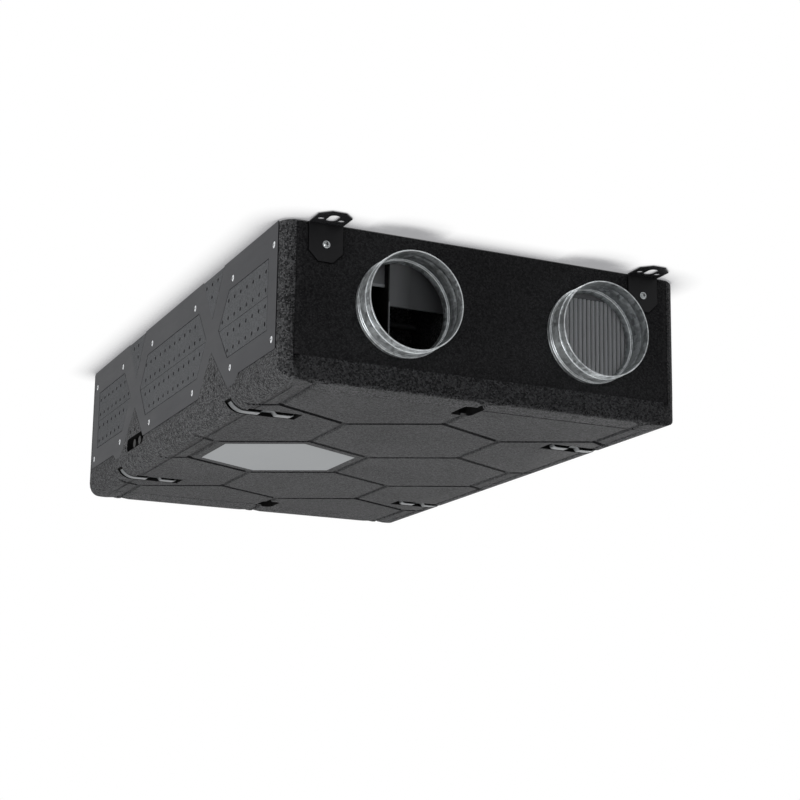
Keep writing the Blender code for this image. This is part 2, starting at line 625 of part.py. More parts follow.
def hanger_bracket(name, x, matrix):
    back_y = WALL_Y - FIT_GAP
    turn_down = Matrix(((1, 0, 0, x), (0, 0, 1, back_y - BRACKET_SHEET / 2), (0, -1, 0, HEIGHT), (0, 0, 0, 1)))
    leg_hole = arc((0.0, HEIGHT - SCREW_Z), SCREW_SHANK_RADIUS + 2 * SCREW_PLAY, 0, 337.5, 15)
    drop = sheet(name, [chamfered_leg(BRACKET_DROP, BRACKET_SHEET / 2), leg_hole], BRACKET_SHEET,
                 matrix @ turn_down, parts, BRACKET_STEEL)
    turn_out = Matrix(((1, 0, 0, x), (0, -1, 0, back_y), (0, 0, 1, HEIGHT - BRACKET_SHEET / 2), (0, 0, 0, 1)))
    slot = slot_outline((0.0, BRACKET_SLOT_MIDDLE), BRACKET_SLOT_LENGTH, BRACKET_SLOT_WIDTH)
    holes = [arc((sign * BRACKET_HOLE_SPREAD / 2, BRACKET_HOLE_MIDDLE), BRACKET_HOLE_RADIUS, 0, 330, 11)
             for sign in (-1, 1)]
    tab = sheet(name + "_tab", [chamfered_leg(BRACKET_REACH, 0.0), slot] + holes, BRACKET_SHEET,
                matrix @ turn_out, cutters)
    boolean(drop, tab, "UNION")
    return drop


# Bracket screw: a flanged round head with its shank through the bracket into the foam
def bracket_screw(end, name, x):
    matrix = end_matrix(end)
    face = WALL_Y - FIT_GAP - BRACKET_SHEET - FIT_GAP
    points = [(0.0, SCREW_POINT_LENGTH), (SCREW_SHANK_RADIUS, SCREW_SHANK_LENGTH), (SCREW_SHANK_RADIUS, 0.0),
              (SCREW_HEAD_RADIUS, 0.0), (SCREW_HEAD_RADIUS, -SCREW_FLANGE_HEIGHT),
              (SCREW_CROWN_RADIUS, -SCREW_FLANGE_HEIGHT), (SCREW_CROWN_RADIUS * 0.9, -SCREW_HEAD_HEIGHT),
              (0.0, -SCREW_HEAD_HEIGHT)]
    shape = bmesh.new()
    ring = [shape.verts.new((radius, along, 0.0)) for radius, along in points]
    lines = [shape.edges.new((ring[i], ring[i + 1])) for i in range(len(ring) - 1)]
    bmesh.ops.spin(shape, geom=ring + lines, cent=(0, 0, 0), axis=(0, 1, 0), dvec=(0, 0, 0),
                   angle=math.tau, steps=TURN_STEPS // 2, use_merge=True)
    bmesh.ops.remove_doubles(shape, verts=shape.verts, dist=1e-6)
    bmesh.ops.recalc_face_normals(shape, faces=shape.faces)
    mesh = bpy.data.meshes.new(name)
    shape.to_mesh(mesh)
    shape.free()
    screw = place(mesh, name, parts, SCREW_STEEL, matrix @ Matrix.Translation((x, face, SCREW_Z)))
    hole = cylinder("hole_" + name, SCREW_SHANK_RADIUS + SCREW_PLAY, 3 * SCREW_POINT_LENGTH,
                    matrix @ Matrix.Translation((x, WALL_Y, SCREW_Z)) @ TURN_ALONG, steps=TURN_STEPS // 2)
    boolean(end_panels[end]["upper"], hole)
    return screw


for end in END_TURNS:
    for x in (-BRACKET_X, BRACKET_X):
        label = corner_name(end, x)
        hanger_bracket("hanger_bracket_" + label, x, end_matrix(end))
        bracket_screw(end, "bracket_screw_" + label, x)


# Cover straps: sprung strips that slope in from the base's rounded edge, each dipping into its pocket
STRAP_LEVEL = FIT_GAP + STRAP_SHEET / 2


def thick_line(points, thickness):
    # An open line given a thickness, with its corners mitred
    sides = ([], [])
    for i, point in enumerate(points):
        before = Vector(points[max(i - 1, 0)])
        after = Vector(points[min(i + 1, len(points) - 1)])
        here = Vector(point)
        run_in = (here - before if i > 0 else after - here).normalized()
        run_out = (after - here if i < len(points) - 1 else here - before).normalized()
        across = Vector((-run_in.y - run_out.y, run_in.x + run_out.x)).normalized()
        reach = thickness / 2 / across.dot(Vector((-run_in.y, run_in.x)))
        sides[0].append(tuple(here + across * reach))
        sides[1].append(tuple(here - across * reach))
    return sides[0] + sides[1][::-1]


def strap_line():
    # Drawn for the left side in the plane across the unit: first direction X, second Z
    low = STRAP_LEVEL
    rise = low + STRAP_DIP_RISE
    slope = STRAP_DIP_RISE
    return [(-STRAP_START[0], STRAP_START[1]), (-STRAP_BEND, low),
            (-STRAP_DIP_OUT - slope / 2, low), (-STRAP_DIP_OUT + slope / 2, rise),
            (-STRAP_DIP_IN - slope / 2, rise), (-STRAP_DIP_IN + slope / 2, low),
            (-STRAP_END - slope, low), (-STRAP_END - slope / 3, low + slope / 4), (-STRAP_END, rise)]


def strap_channel():
    # All that lies outwards of the strap's sloping leg, with the fit's gap over the leg
    bend = Vector((-STRAP_BEND, STRAP_LEVEL))
    start = Vector((-STRAP_START[0], STRAP_START[1]))
    run = (start - bend).normalized()
    inwards = Vector((run.y, -run.x)) * (STRAP_SHEET / 2 + FIT_GAP)
    bend += inwards
    start += inwards + run * STRAP_CHANNEL_LEAD
    outside = -WIDTH / 2 - BELOW
    return [tuple(bend), tuple(start), (outside, start.y), (outside, -BELOW), (bend.x, -BELOW)]


for end in END_TURNS:
    for side, sign in SIDES.items():
        label = end + "_" + side
        along = STRAP_Y * (-1 if end == "front" else 1) + STRAP_SHIFT
        strap_place = Matrix.Translation((0.0, along, 0.0)) @ Matrix.Diagonal((-sign, 1, 1, 1)) @ ACROSS
        sheet("cover_strap_" + label, [thick_line(strap_line(), STRAP_SHEET)], STRAP_WIDTH, strap_place,
              parts, STRAP_STEEL)
        channel = sheet("strap_channel_" + label, [strap_channel()], STRAP_WIDTH + 2 * STRAP_CHANNEL_ROOM,
                        strap_place, cutters)
        near, far = sorted((sign * STRAP_POCKET_IN, sign * STRAP_BEND))
        pocket = box("strap_pocket_" + label, (near, along - STRAP_WIDTH / 2 - STRAP_POCKET_ROOM, -BELOW),
                     (far, along + STRAP_WIDTH / 2 + STRAP_CHANNEL_ROOM, STRAP_POCKET_DEPTH))
        for shell in (housing_lower, service_cover):
            boolean(shell, pocket)
        boolean(housing_lower, channel)

# Cable entry: a black block of two glands in a recess under the left side plate's rear notch
entry_x = -WIDTH / 2
entry_middle_z = (ENTRY_LOW_Z + ENTRY_TOP_Z) / 2
entry_recess = box("entry_recess", (entry_x - BELOW, ENTRY_Y - ENTRY_LENGTH / 2, ENTRY_LOW_Z),
                   (entry_x + ENTRY_DEPTH, ENTRY_Y + ENTRY_LENGTH / 2, ENTRY_TOP_Z))
bevel_edges(entry_recess, lambda a, b: abs(a.y - b.y) < 1e-6 and abs(a.z - b.z) < 1e-6, ENTRY_CORNER, 3)
boolean(housing_lower, entry_recess)
block_reach = ENTRY_LENGTH / 2 - ENTRY_CORNER
block_face = entry_x + ENTRY_DEPTH - ENTRY_BLOCK_DEPTH
cable_entry = box("cable_entry", (block_face, ENTRY_Y - block_reach, ENTRY_LOW_Z + FIT_GAP),
                  (entry_x + ENTRY_DEPTH - FIT_GAP, ENTRY_Y + block_reach, ENTRY_TOP_Z - FIT_GAP),
                  parts, BLACK_PLASTIC)
for number, side in enumerate((-1, 1)):
    gland = cylinder(f"gland_{number}", GLAND_RADIUS, GLAND_STAND + GLAND_ROOT,
                     Matrix.Translation((block_face + (GLAND_ROOT - GLAND_STAND) / 2, ENTRY_Y + side * GLAND_SPREAD / 2,
                                         entry_middle_z)) @ Matrix.Rotation(math.pi / 2, 4, "Y"), steps=16)
    boolean(cable_entry, gland, "UNION")
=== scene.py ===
# Ceiling-hung air handling unit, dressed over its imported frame: foam shell, steel side plates, duct spigots
import math

import bpy
from mathutils import Matrix, Vector


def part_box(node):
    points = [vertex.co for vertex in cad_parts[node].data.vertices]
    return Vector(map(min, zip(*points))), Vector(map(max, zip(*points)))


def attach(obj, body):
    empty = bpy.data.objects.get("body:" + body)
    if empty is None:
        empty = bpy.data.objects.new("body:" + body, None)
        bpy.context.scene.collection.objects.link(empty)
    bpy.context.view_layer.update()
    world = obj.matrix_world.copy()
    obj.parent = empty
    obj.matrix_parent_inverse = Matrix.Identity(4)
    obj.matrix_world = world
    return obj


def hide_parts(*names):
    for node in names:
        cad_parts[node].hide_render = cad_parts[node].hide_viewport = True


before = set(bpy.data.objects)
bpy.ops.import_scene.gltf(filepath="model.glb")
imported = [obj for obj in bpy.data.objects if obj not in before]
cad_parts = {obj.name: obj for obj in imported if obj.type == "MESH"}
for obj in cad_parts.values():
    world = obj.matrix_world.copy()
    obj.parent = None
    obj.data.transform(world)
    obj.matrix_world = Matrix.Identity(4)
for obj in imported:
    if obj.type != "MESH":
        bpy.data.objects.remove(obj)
bpy.ops.object.select_all(action="DESELECT")
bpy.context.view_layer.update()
print("frame loaded:", len(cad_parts), "nodes")


# shader helpers
class Wire:
    # one output socket, which Python's own operators work on
    def __init__(self, graph, socket):
        self.graph, self.socket = graph, socket

    def maths(self, operation, left, right=0.0, clamp=False):
        settings = {"operation": operation, "use_clamp": clamp}
        return self.graph.node("ShaderNodeMath", settings, {0: left, 1: right})[0]

    def __add__(self, other):
        return self.maths("ADD", self, other)

    def __radd__(self, other):
        return self.maths("ADD", other, self)

    def __sub__(self, other):
        return self.maths("SUBTRACT", self, other)

    def __rsub__(self, other):
        return self.maths("SUBTRACT", other, self)

    def __mul__(self, other):
        return self.maths("MULTIPLY", self, other)

    def __rmul__(self, other):
        return self.maths("MULTIPLY", other, self)

    def __truediv__(self, other):
        return self.maths("DIVIDE", self, other)

    def __rtruediv__(self, other):
        return self.maths("DIVIDE", other, self)

    def __pow__(self, other):
        return self.maths("POWER", self, other)

    def __abs__(self):
        return self.maths("ABSOLUTE", self)

    def greater(self, other):
        return self.maths("MAXIMUM", self, other)

    def limited(self):
        # kept between 0 and 1
        return self.maths("ADD", self, 0.0, clamp=True)


class Outputs:
    def __init__(self, graph, made):
        self.graph, self.made = graph, made

    def __getitem__(self, key):
        return Wire(self.graph, self.made.outputs[key])


class Graph:
    # the nodes of a material or a world, and the one way in which they are made
    def __init__(self, owner):
        owner.use_nodes = True
        self.tree = owner.node_tree
        self.tree.nodes.clear()

    def node(self, kind, settings=(), sockets=()):
        made = self.tree.nodes.new(kind)
        for key, value in dict(settings).items():
            setattr(made, key, value)
        for key, value in dict(sockets).items():
            target = made.inputs[key]
            if isinstance(value, Wire):
                self.tree.links.new(value.socket, target)
            else:
                target.default_value = (*value, 1.0) if target.type == "RGBA" else value
        return Outputs(self, made)


class Paint(Graph):
    # a material, whose patterns read Object coordinates
    def __init__(self, name):
        self.material = bpy.data.materials.new(name)
        super().__init__(self.material)
        self.place = self.node("ShaderNodeTexCoord")["Object"]

    def noise(self, scale, detail=2.0, vector=None):
        sockets = {"Vector": vector or self.place, "Scale": scale, "Detail": detail}
        return self.node("ShaderNodeTexNoise", {}, sockets)["Fac"]

    def streaks(self, scale, detail):
        stretched = self.node("ShaderNodeMapping", {}, {"Vector": self.place, "Scale": scale})["Vector"]
        return self.noise(1.0, detail, stretched)

    def mix(self, factor, low, high):
        return self.node("ShaderNodeMix", {"data_type": "RGBA"}, {0: factor, 6: low, 7: high})[2]

    def tone(self, factor, look):
        return self.mix(factor.limited(), look["dark"], look["light"])

    def bump(self, height, distance):
        sockets = {"Height": height, "Distance": distance, "Strength": 1.0}
        return self.node("ShaderNodeBump", {}, sockets)["Normal"]

    def finish(self, surface):
        shader = self.node("ShaderNodeBsdfPrincipled", {}, surface)
        self.node("ShaderNodeOutputMaterial", {}, {"Surface": shader["BSDF"]})
        return self.material


# bead foam: each bead has its own tone, with painted shade in the crevice round it
shellLook = {"dark": (0.012, 0.012, 0.013), "light": (0.178, 0.180, 0.184), "bead": 0.0024, "grain": 0.0012,
             "beadShare": 0.90, "depth": 0.0009, "roughness": 0.68, "specular": 0.08}
coverLook = {"dark": (0.016, 0.016, 0.017), "light": (0.128, 0.129, 0.132), "bead": 0.0024, "grain": 0.0012,
             "beadShare": 0.70, "depth": 0.0005, "roughness": 0.66, "specular": 0.08}
# painted shade: a darker cover foam for the pattern's slopes that look along the unit
groovePaintedShadeLook = {"dark": (0.006, 0.006, 0.007), "light": (0.050, 0.051, 0.052), "bead": 0.0024, "grain": 0.0012,
              "beadShare": 0.70, "depth": 0.0005, "roughness": 0.66, "specular": 0.05}
windowLook = {"dark": (0.052, 0.054, 0.057), "light": (0.130, 0.134, 0.140), "bead": 0.0028, "grain": 0.0014,
              "beadShare": 0.45, "depth": 0.0003, "roughness": 0.66, "specular": 0.08}
panelLook = {"dark": (0.008, 0.008, 0.009), "light": (0.078, 0.078, 0.080), "bead": 0.0026, "grain": 0.0012,
             "beadShare": 0.60, "depth": 0.00025, "roughness": 0.64, "specular": 0.06}
foamPattern = {"creviceGain": 7.0, "wobbleBeads": 3, "patchScale": 5.0, "shares": 1.5, "level": 0.60}


def beadFoam(name, look):
    paint = Paint(name)
    beads = {"Vector": paint.place, "Scale": 1 / look["bead"]}
    cells = paint.node("ShaderNodeTexVoronoi", {}, beads)
    rims = paint.node("ShaderNodeTexVoronoi", {"feature": "DISTANCE_TO_EDGE"}, beads)
    beadTone = paint.node("ShaderNodeSeparateColor", {}, {"Color": cells["Color"]})["Red"]
    creviceDepthAndShade = (rims["Distance"] * foamPattern["creviceGain"]).limited()
    wobble = paint.noise(1 / (look["bead"] * foamPattern["wobbleBeads"]), 1.0)
    fine = paint.noise(1 / look["grain"], 3.0)
    patches = paint.noise(foamPattern["patchScale"], 3.0)
    grain = beadTone * look["beadShare"] + fine * (foamPattern["shares"] - look["beadShare"])
    # painted shade: the tone darkens towards each bead's crevice
    tone = (grain + patches * 0.5 - foamPattern["level"]) * (creviceDepthAndShade * 0.5 + 0.5)
    height = creviceDepthAndShade * 0.55 + fine * 0.7 + wobble * 0.3
    return paint.finish({"Base Color": paint.tone(tone, look),
                         "Roughness": (fine * 0.25 + look["roughness"] - 0.12).limited(),
                         "Specular IOR Level": look["specular"],
                         "Normal": paint.bump(height, look["depth"])})


# coats and smooth plastics: a slow drift, faint scuffs and a fine peel
plateLook = {"dark": (0.031, 0.032, 0.035), "light": (0.044, 0.045, 0.049), "roughness": 0.50, "peel": 0.0016,
             "specular": 0.12}
bracketLook = {"dark": (0.010, 0.010, 0.011), "light": (0.022, 0.022, 0.024), "roughness": 0.44, "peel": 0.0012,
               "specular": 0.14}
badgeLook = {"dark": (0.340, 0.352, 0.358), "light": (0.375, 0.388, 0.395), "roughness": 0.50, "peel": 0.0030,
             "specular": 0.16}
plasticLook = {"dark": (0.006, 0.006, 0.006), "light": (0.012, 0.012, 0.012), "roughness": 0.50, "peel": 0.0010,
               "specular": 0.20}
# painted shade: a darker foam inside the dimples, the window seam, the panels' chambers and the leg pockets
recessPaintedShadeLook = {"dark": (0.022, 0.022, 0.023), "light": (0.034, 0.034, 0.036), "roughness": 0.75, "peel": 0.0015,
              "specular": 0.06}
# painted shade: a dark finish inside the screws' cross recesses
socketPaintedShadeLook = {"dark": (0.030, 0.031, 0.032), "light": (0.070, 0.071, 0.073), "roughness": 0.50, "peel": 0.0010,
              "specular": 0.20}
filterHeadLook = {"dark": (0.20, 0.203, 0.206), "light": (0.26, 0.263, 0.267), "roughness": 0.60, "peel": 0.0020,
                  "specular": 0.20}
filterEdgeLook = {"dark": (0.56, 0.57, 0.58), "light": (0.64, 0.65, 0.66), "roughness": 0.60, "peel": 0.0020,
                  "specular": 0.20}
# painted shade: near-black for the walls of strap pockets, finger grips and the cable entry
hollowPaintedShadeLook = {"dark": (0.004, 0.004, 0.004), "light": (0.008, 0.008, 0.008), "roughness": 0.85, "peel": 0.0020,
              "specular": 0.02}
coatPattern = {"driftScale": 7.0, "scuff": (40.0, 12.0, 90.0), "peelDepth": 0.00006}


def coated(name, look):
    paint = Paint(name)
    peel = paint.noise(1 / look["peel"])
    drift = paint.noise(coatPattern["driftScale"], 3.0)
    scuff = paint.streaks(coatPattern["scuff"], 4.0)
    return paint.finish({"Base Color": paint.tone(drift * 0.7 + scuff * 0.3, look),
                         "Roughness": (drift * 0.16 + scuff * 0.10 + look["roughness"] - 0.12).limited(),
                         "Specular IOR Level": look["specular"],
                         "Normal": paint.bump(peel, coatPattern["peelDepth"])})


hoodPaintedLightLook = {"dark": (0.100, 0.102, 0.106), "light": (0.350, 0.354, 0.362), "roughness": 0.45, "peel": 0.0030,
            "specular": 0.20, "from": 0.130, "span": 0.042}


def hoodPlasticPaintedLight(name, look):
    # painted light: paler towards the divider, where the sheet curves
    paint = Paint(name)
    peel = paint.noise(1 / look["peel"])
    drift = paint.noise(coatPattern["driftScale"], 3.0)
    across = paint.node("ShaderNodeSeparateXYZ", {}, {"Vector": paint.place})["X"]
    # painted light: the tone lightens with distance from the middle, towards the divider
    near = ((abs(across) - look["from"]) / look["span"]).limited()
    return paint.finish({"Base Color": paint.tone(near * 0.9 + drift * 0.2 - 0.05, look),
                         "Roughness": (drift * 0.16 + look["roughness"] - 0.08).limited(),
                         "Specular IOR Level": look["specular"],
                         "Normal": paint.bump(peel, coatPattern["peelDepth"])})


# bare metals
zincLook = {"dark": (0.15, 0.161, 0.167), "light": (0.76, 0.795, 0.81), "spangle": 0.007, "roughness": 0.42,
            "metallic": 0.84}
strapLook = {"dark": (0.09, 0.094, 0.097), "light": (0.24, 0.249, 0.255), "spangle": 0.004, "roughness": 0.42,
             "metallic": 1.0}
rolledLook = {"dark": (0.20, 0.211, 0.216), "light": (0.56, 0.586, 0.597), "spangle": 0.005, "roughness": 0.36,
              "metallic": 1.0}
zincPattern = {"streaks": (260.0, 18.0, 260.0), "hazeScale": 14.0, "level": 0.45, "depth": 0.00012}


def galvanised(name, look):
    paint = Paint(name)
    grains = paint.node("ShaderNodeTexVoronoi", {}, {"Vector": paint.place, "Scale": 1 / look["spangle"]})
    grainTone = paint.node("ShaderNodeSeparateColor", {}, {"Color": grains["Color"]})["Green"]
    streaks = paint.streaks(zincPattern["streaks"], 4.0)
    haze = paint.noise(zincPattern["hazeScale"], 3.0)
    tone = grainTone * 0.45 + streaks * 0.6 + haze * 0.8 - zincPattern["level"]
    return paint.finish({"Base Color": paint.tone(tone, look),
                         "Metallic": look["metallic"],
                         "Roughness": (grainTone * 0.10 + streaks * 0.18 + look["roughness"] - 0.10).limited(),
                         "Normal": paint.bump(streaks + haze * 0.5, zincPattern["depth"])})


brightLook = {"dark": (0.62, 0.64, 0.66), "light": (0.86, 0.88, 0.90), "roughness": 0.24,
              "brush": (900.0, 120.0, 900.0), "hazeScale": 60.0, "depth": 0.00005}


def brightMetal(name, look):
    paint = Paint(name)
    brush = paint.streaks(look["brush"], 3.0)
    haze = paint.noise(look["hazeScale"])
    return paint.finish({"Base Color": paint.tone(brush * 0.5 + haze * 0.5, look),
                         "Metallic": 1.0,
                         "Roughness": (brush * 0.16 + look["roughness"] - 0.06).limited(),
                         "Normal": paint.bump(brush, look["depth"])})


filterLook = {"dark": (0.60, 0.605, 0.61), "light": (0.82, 0.825, 0.83)}
# painted shade: a dark fibre for the deep faces of the pleats
foldPaintedShadeLook = {"dark": (0.10, 0.101, 0.103), "light": (0.20, 0.202, 0.205)}
fibrePattern = {"felt": 0.0012, "dustScale": 18.0, "roughness": 0.85, "specular": 0.15, "depth": 0.0003}


def fibre(name, look):
    paint = Paint(name)
    felt = paint.noise(1 / fibrePattern["felt"], 5.0)
    dust = paint.noise(fibrePattern["dustScale"], 3.0)
    return paint.finish({"Base Color": paint.tone(felt * 0.6 + dust * 0.4, look),
                         "Roughness": (felt * 0.15 + fibrePattern["roughness"]).limited(),
                         "Specular IOR Level": fibrePattern["specular"],
                         "Normal": paint.bump(felt, fibrePattern["depth"])})


# every finish, with the record's slot that it belongs to
finishTable = {"shell": (beadFoam("shellFoam", shellLook), "black_foam"),
               "cover": (beadFoam("coverFoam", coverLook), "cover_foam"),
               "groove": (beadFoam("grooveShadeFoam", groovePaintedShadeLook), "cover_foam"),
               "window": (beadFoam("windowFoam", windowLook), "black_foam"),
               "panel": (beadFoam("panelFoam", panelLook), "smooth_foam"),
               "dimple": (coated("recessShadeFoam", recessPaintedShadeLook), "black_foam"),
               "hollow": (coated("hollowShade", hollowPaintedShadeLook), "black_foam"),
               "plate": (coated("plateCoat", plateLook), "dark_steel"),
               "bracket": (coated("bracketCoat", bracketLook), "bracket_steel"),
               "badge": (coated("badgeSatin", badgeLook), "pale_plate"),
               "plastic": (coated("blackPlastic", plasticLook), "black_plastic"),
               "hood": (hoodPlasticPaintedLight("hoodPlasticPaintedLight", hoodPaintedLightLook), "housing_grey"),
               "zinc": (galvanised("galvanisedSteel", zincLook), "galvanised"),
               "rolled": (galvanised("rolledEdge", rolledLook), "galvanised"),
               "strap": (galvanised("strapSteel", strapLook), "strap_steel"),
               "bright": (brightMetal("brightZinc", brightLook), "screw_steel"),
               "socket": (coated("socketShade", socketPaintedShadeLook), "screw_steel"),
               "filter": (fibre("filterFibre", filterLook), "filter_fibre"),
               "fold": (fibre("filterFoldsWithPaintedShade", foldPaintedShadeLook), "filter_fibre"),
               "filterEdge": (coated("filterEdge", filterEdgeLook), "filter_fibre"),
               "filterHead": (coated("filterHead", filterHeadLook), "filter_fibre")}
finishes = {key: material for key, (material, slot) in finishTable.items()}
print("finishes made:", len(finishes))

# the two nodes whose own shape stays in view
for nodeName, key in {"hexagon_plate": "badge", "cable_entry": "plastic"}.items():
    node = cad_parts[nodeName]
    node.data.materials.clear()
    node.data.materials.append(finishes[key])

# modelling helpers
alongX = (0, math.pi / 2, 0)
alongY = (math.pi / 2, 0, 0)
halfTurn = Matrix.Rotation(math.pi, 4, "Z")
workSize = {"seed": 0.002, "weld": 0.000005, "cadWeld": 0.00001, "flat": math.radians(0.5)}


def only(thing):
    bpy.ops.object.select_all(action="DESELECT")
    thing.select_set(True)
    bpy.context.view_layer.objects.active = thing


def editing(thing, steps):
    only(thing)
    bpy.ops.object.mode_set(mode="EDIT")
    bpy.ops.mesh.select_all(action="SELECT")
    steps()
    bpy.ops.object.mode_set(mode="OBJECT")


def apply(thing, kind, **settings):
    only(thing)
    step = thing.modifiers.new(kind.lower(), kind)
    for key, value in settings.items():
        setattr(step, key, value)
    bpy.ops.object.modifier_apply(modifier=step.name)


def cut(thing, cutter):
    apply(thing, "BOOLEAN", operation="DIFFERENCE", solver="EXACT", object=cutter, material_mode="TRANSFER")
    bpy.data.objects.remove(cutter)


def rounded(thing, width, segments, angle=30):
    apply(thing, "BEVEL", width=width, segments=segments, limit_method="ANGLE", angle_limit=math.radians(angle))


def coat(thing, *keys):
    thing.data.materials.clear()
    for key in keys:
        thing.data.materials.append(finishes[key])


def smooth(thing, angle=32):
    only(thing)
    bpy.ops.object.shade_smooth_by_angle(angle=math.radians(angle))


def faired(thing, angle=32):
    # smooth over the rounded edges alone, so that a big flat face stays evenly lit
    smooth(thing, angle)
    apply(thing, "WEIGHTED_NORMAL", keep_sharp=True, weight=90)


def copied(piece, matrix):
    twin = bpy.data.objects.new(piece.name, piece.data.copy())
    bpy.context.scene.collection.objects.link(twin)
    twin.data.transform(matrix)
    return twin


def joined(things):
    only(things[0])
    for thing in things:
        thing.select_set(True)
    bpy.ops.object.join()
    return things[0]


def settle(thing, name, key, *replaced):
    # place goes into the mesh, then the piece takes its name and ride
    only(thing)
    bpy.ops.object.transform_apply(location=True, rotation=True, scale=True)
    thing.name = thing.data.name = name
    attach(thing, "root")
    if replaced:
        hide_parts(*replaced)
    bpy.ops.object.select_all(action="DESELECT")


def drawn(points):
    # a closed line laid point by point with the extrude operator
    bpy.ops.object.select_all(action="DESELECT")
    bpy.ops.mesh.primitive_plane_add(size=workSize["seed"])
    thing = bpy.context.object

    def lay():
        bpy.ops.mesh.merge(type="CENTER")
        bpy.ops.transform.translate(value=points[0])
        for here, there in zip(points, points[1:] + points[:1]):
            step = Vector(there) - Vector(here)
            bpy.ops.mesh.extrude_vertices_move(TRANSFORM_OT_translate={"value": step})
        bpy.ops.mesh.select_all(action="SELECT")
        bpy.ops.mesh.remove_doubles(threshold=workSize["weld"])
    editing(thing, lay)
    return thing


def slab(points, push):
    # a flat outline filled and given its thickness
    thing = drawn(points)

    def thicken():
        bpy.ops.mesh.edge_face_add()
        bpy.ops.mesh.extrude_region_move(TRANSFORM_OT_translate={"value": push})
        bpy.ops.mesh.select_all(action="SELECT")
        bpy.ops.mesh.normals_make_consistent(inside=False)
    editing(thing, thicken)
    return thing


def turned(profile, steps, angle=38):
    # a closed line of (along, radius), spun about the Y axis
    thing = drawn([(radius, along, 0.0) for along, radius in profile])

    def spin():
        bpy.ops.mesh.spin(steps=steps, angle=math.tau, center=(0, 0, 0), axis=(0, 1, 0))
        bpy.ops.mesh.select_all(action="SELECT")
        bpy.ops.mesh.remove_doubles(threshold=workSize["weld"])
        bpy.ops.mesh.normals_make_consistent(inside=False)
    editing(thing, spin)
    smooth(thing, angle)
    return thing


def boxAt(middle, size):
    bpy.ops.object.select_all(action="DESELECT")
    bpy.ops.mesh.primitive_cube_add(size=1.0, location=middle)
    box = bpy.context.object
    box.scale = size
    bpy.ops.object.transform_apply(location=True, rotation=True, scale=True)
    return box


def blockOf(low, high):
    return boxAt([(a + b) / 2 for a, b in zip(low, high)], [b - a for a, b in zip(low, high)])


def drum(corners, radius, depth, middle, facing):
    bpy.ops.object.select_all(action="DESELECT")
    bpy.ops.mesh.primitive_cylinder_add(vertices=corners, radius=radius, depth=depth,
                                        location=middle, rotation=facing)
    bpy.ops.object.transform_apply(location=True, rotation=True, scale=True)
    return bpy.context.object


def crossBit(size, at):
    # two crossed bars along Y and Z, centred on a face that looks along X
    length, width, depth = size
    upright, level = [boxAt((at, 0, 0), (2 * depth, *arm)) for arm in ((length, width), (width, length))]
    apply(upright, "BOOLEAN", operation="UNION", solver="EXACT", object=level)
    bpy.data.objects.remove(level)
    # the bars' dark finish goes onto the cross recess they cut: painted shade
    coat(upright, "socket")
    return upright


def dressedCopy(nodeName, *keys, bevel=0.0, segments=2):
    # a CAD node's own shape, merged, so that it can be worked on
    piece = bpy.data.objects.new(nodeName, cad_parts[nodeName].data.copy())
    bpy.context.scene.collection.objects.link(piece)

    def merge():
        bpy.ops.mesh.remove_doubles(threshold=workSize["cadWeld"])
        bpy.ops.mesh.dissolve_limited(angle_limit=workSize["flat"])
    editing(piece, merge)
    coat(piece, *keys)
    if bevel:
        rounded(piece, bevel, segments, 40)
    return piece


# what several pieces share: each end is modelled as the front one, and the back one is turned half round
ends = {"front": 0.0, "back": math.pi}
sides = {"left": -1.0, "right": 1.0}
unitSize = {"endWall": 0.5640, "bracketX": 0.2905, "strapAlong": {"front": -0.3160, "back": 0.3260},
            "fanX": -0.1570, "filterX": 0.1860, "chamberHalf": 0.0880, "chamberLow": 0.0480,
            "chamberTop": 0.2250, "chamberGap": 0.0004}
chamberFloor = unitSize["chamberLow"] + unitSize["chamberGap"]
chamberRoof = unitSize["chamberTop"] - unitSize["chamberGap"]


def cornerOf(end, x):
    # what is on an end's own left stands on the unit's right at the back
    seen = x if end == "front" else -x
    return "left" if seen < 0 else "right"


# the recesses of the lower shell and the cover, whose walls get a near-black finish: painted shade
hollowSize = {"skin": 0.0004, "pocketInner": 0.228, "pocketOuter": 0.3240, "pocketNear": 0.0304, "far": 0.0112,
              "pocketDeep": 0.0125, "legOuter": 0.3620, "legTop": 0.0190, "legNear": 0.0200,
              "cornerMiddle": (0.3295, 0.0330), "cornerInside": 0.0322, "gripDeep": 0.0225,
              "grips": (((-0.0265, -0.5295), (0.0125, -0.4685)), ((-0.0125, 0.4385), (0.0265, 0.4995))),
              "entry": ((-0.3620, 0.1575, 0.0355), (-0.3320, 0.2635, 0.0615))}


def insideRecess(x, y, z):
    # in a strap's pocket or channel, a finger grip or the cable entry
    size, away = hollowSize, abs(x)
    for along in unitSize["strapAlong"].values():
        ahead = y - along
        inPocket = size["pocketInner"] < away < size["pocketOuter"] and -size["pocketNear"] < ahead < size["far"]
        if inPocket and z < size["pocketDeep"]:
            return z > size["skin"]
        inChannel = size["pocketOuter"] <= away < size["legOuter"] and -size["legNear"] < ahead < size["far"]
        if inChannel and z < size["legTop"]:
            middleX, middleZ = size["cornerMiddle"]
            return math.hypot(away - middleX, z - middleZ) < size["cornerInside"]
    for low, high in size["grips"]:
        if low[0] < x < high[0] and low[1] < y < high[1] and size["skin"] < z < size["gripDeep"]:
            return True
    low, high = size["entry"]
    return all(a < b < c for a, b, c in zip(low, (x, y, z), high))


def paintRecessShade(thing):
    # painted shade: the walls of the recesses take the last finish of the piece, a near-black
    for face in thing.data.polygons:
        if insideRecess(*face.center):
            face.material_index = len(thing.data.materials) - 1


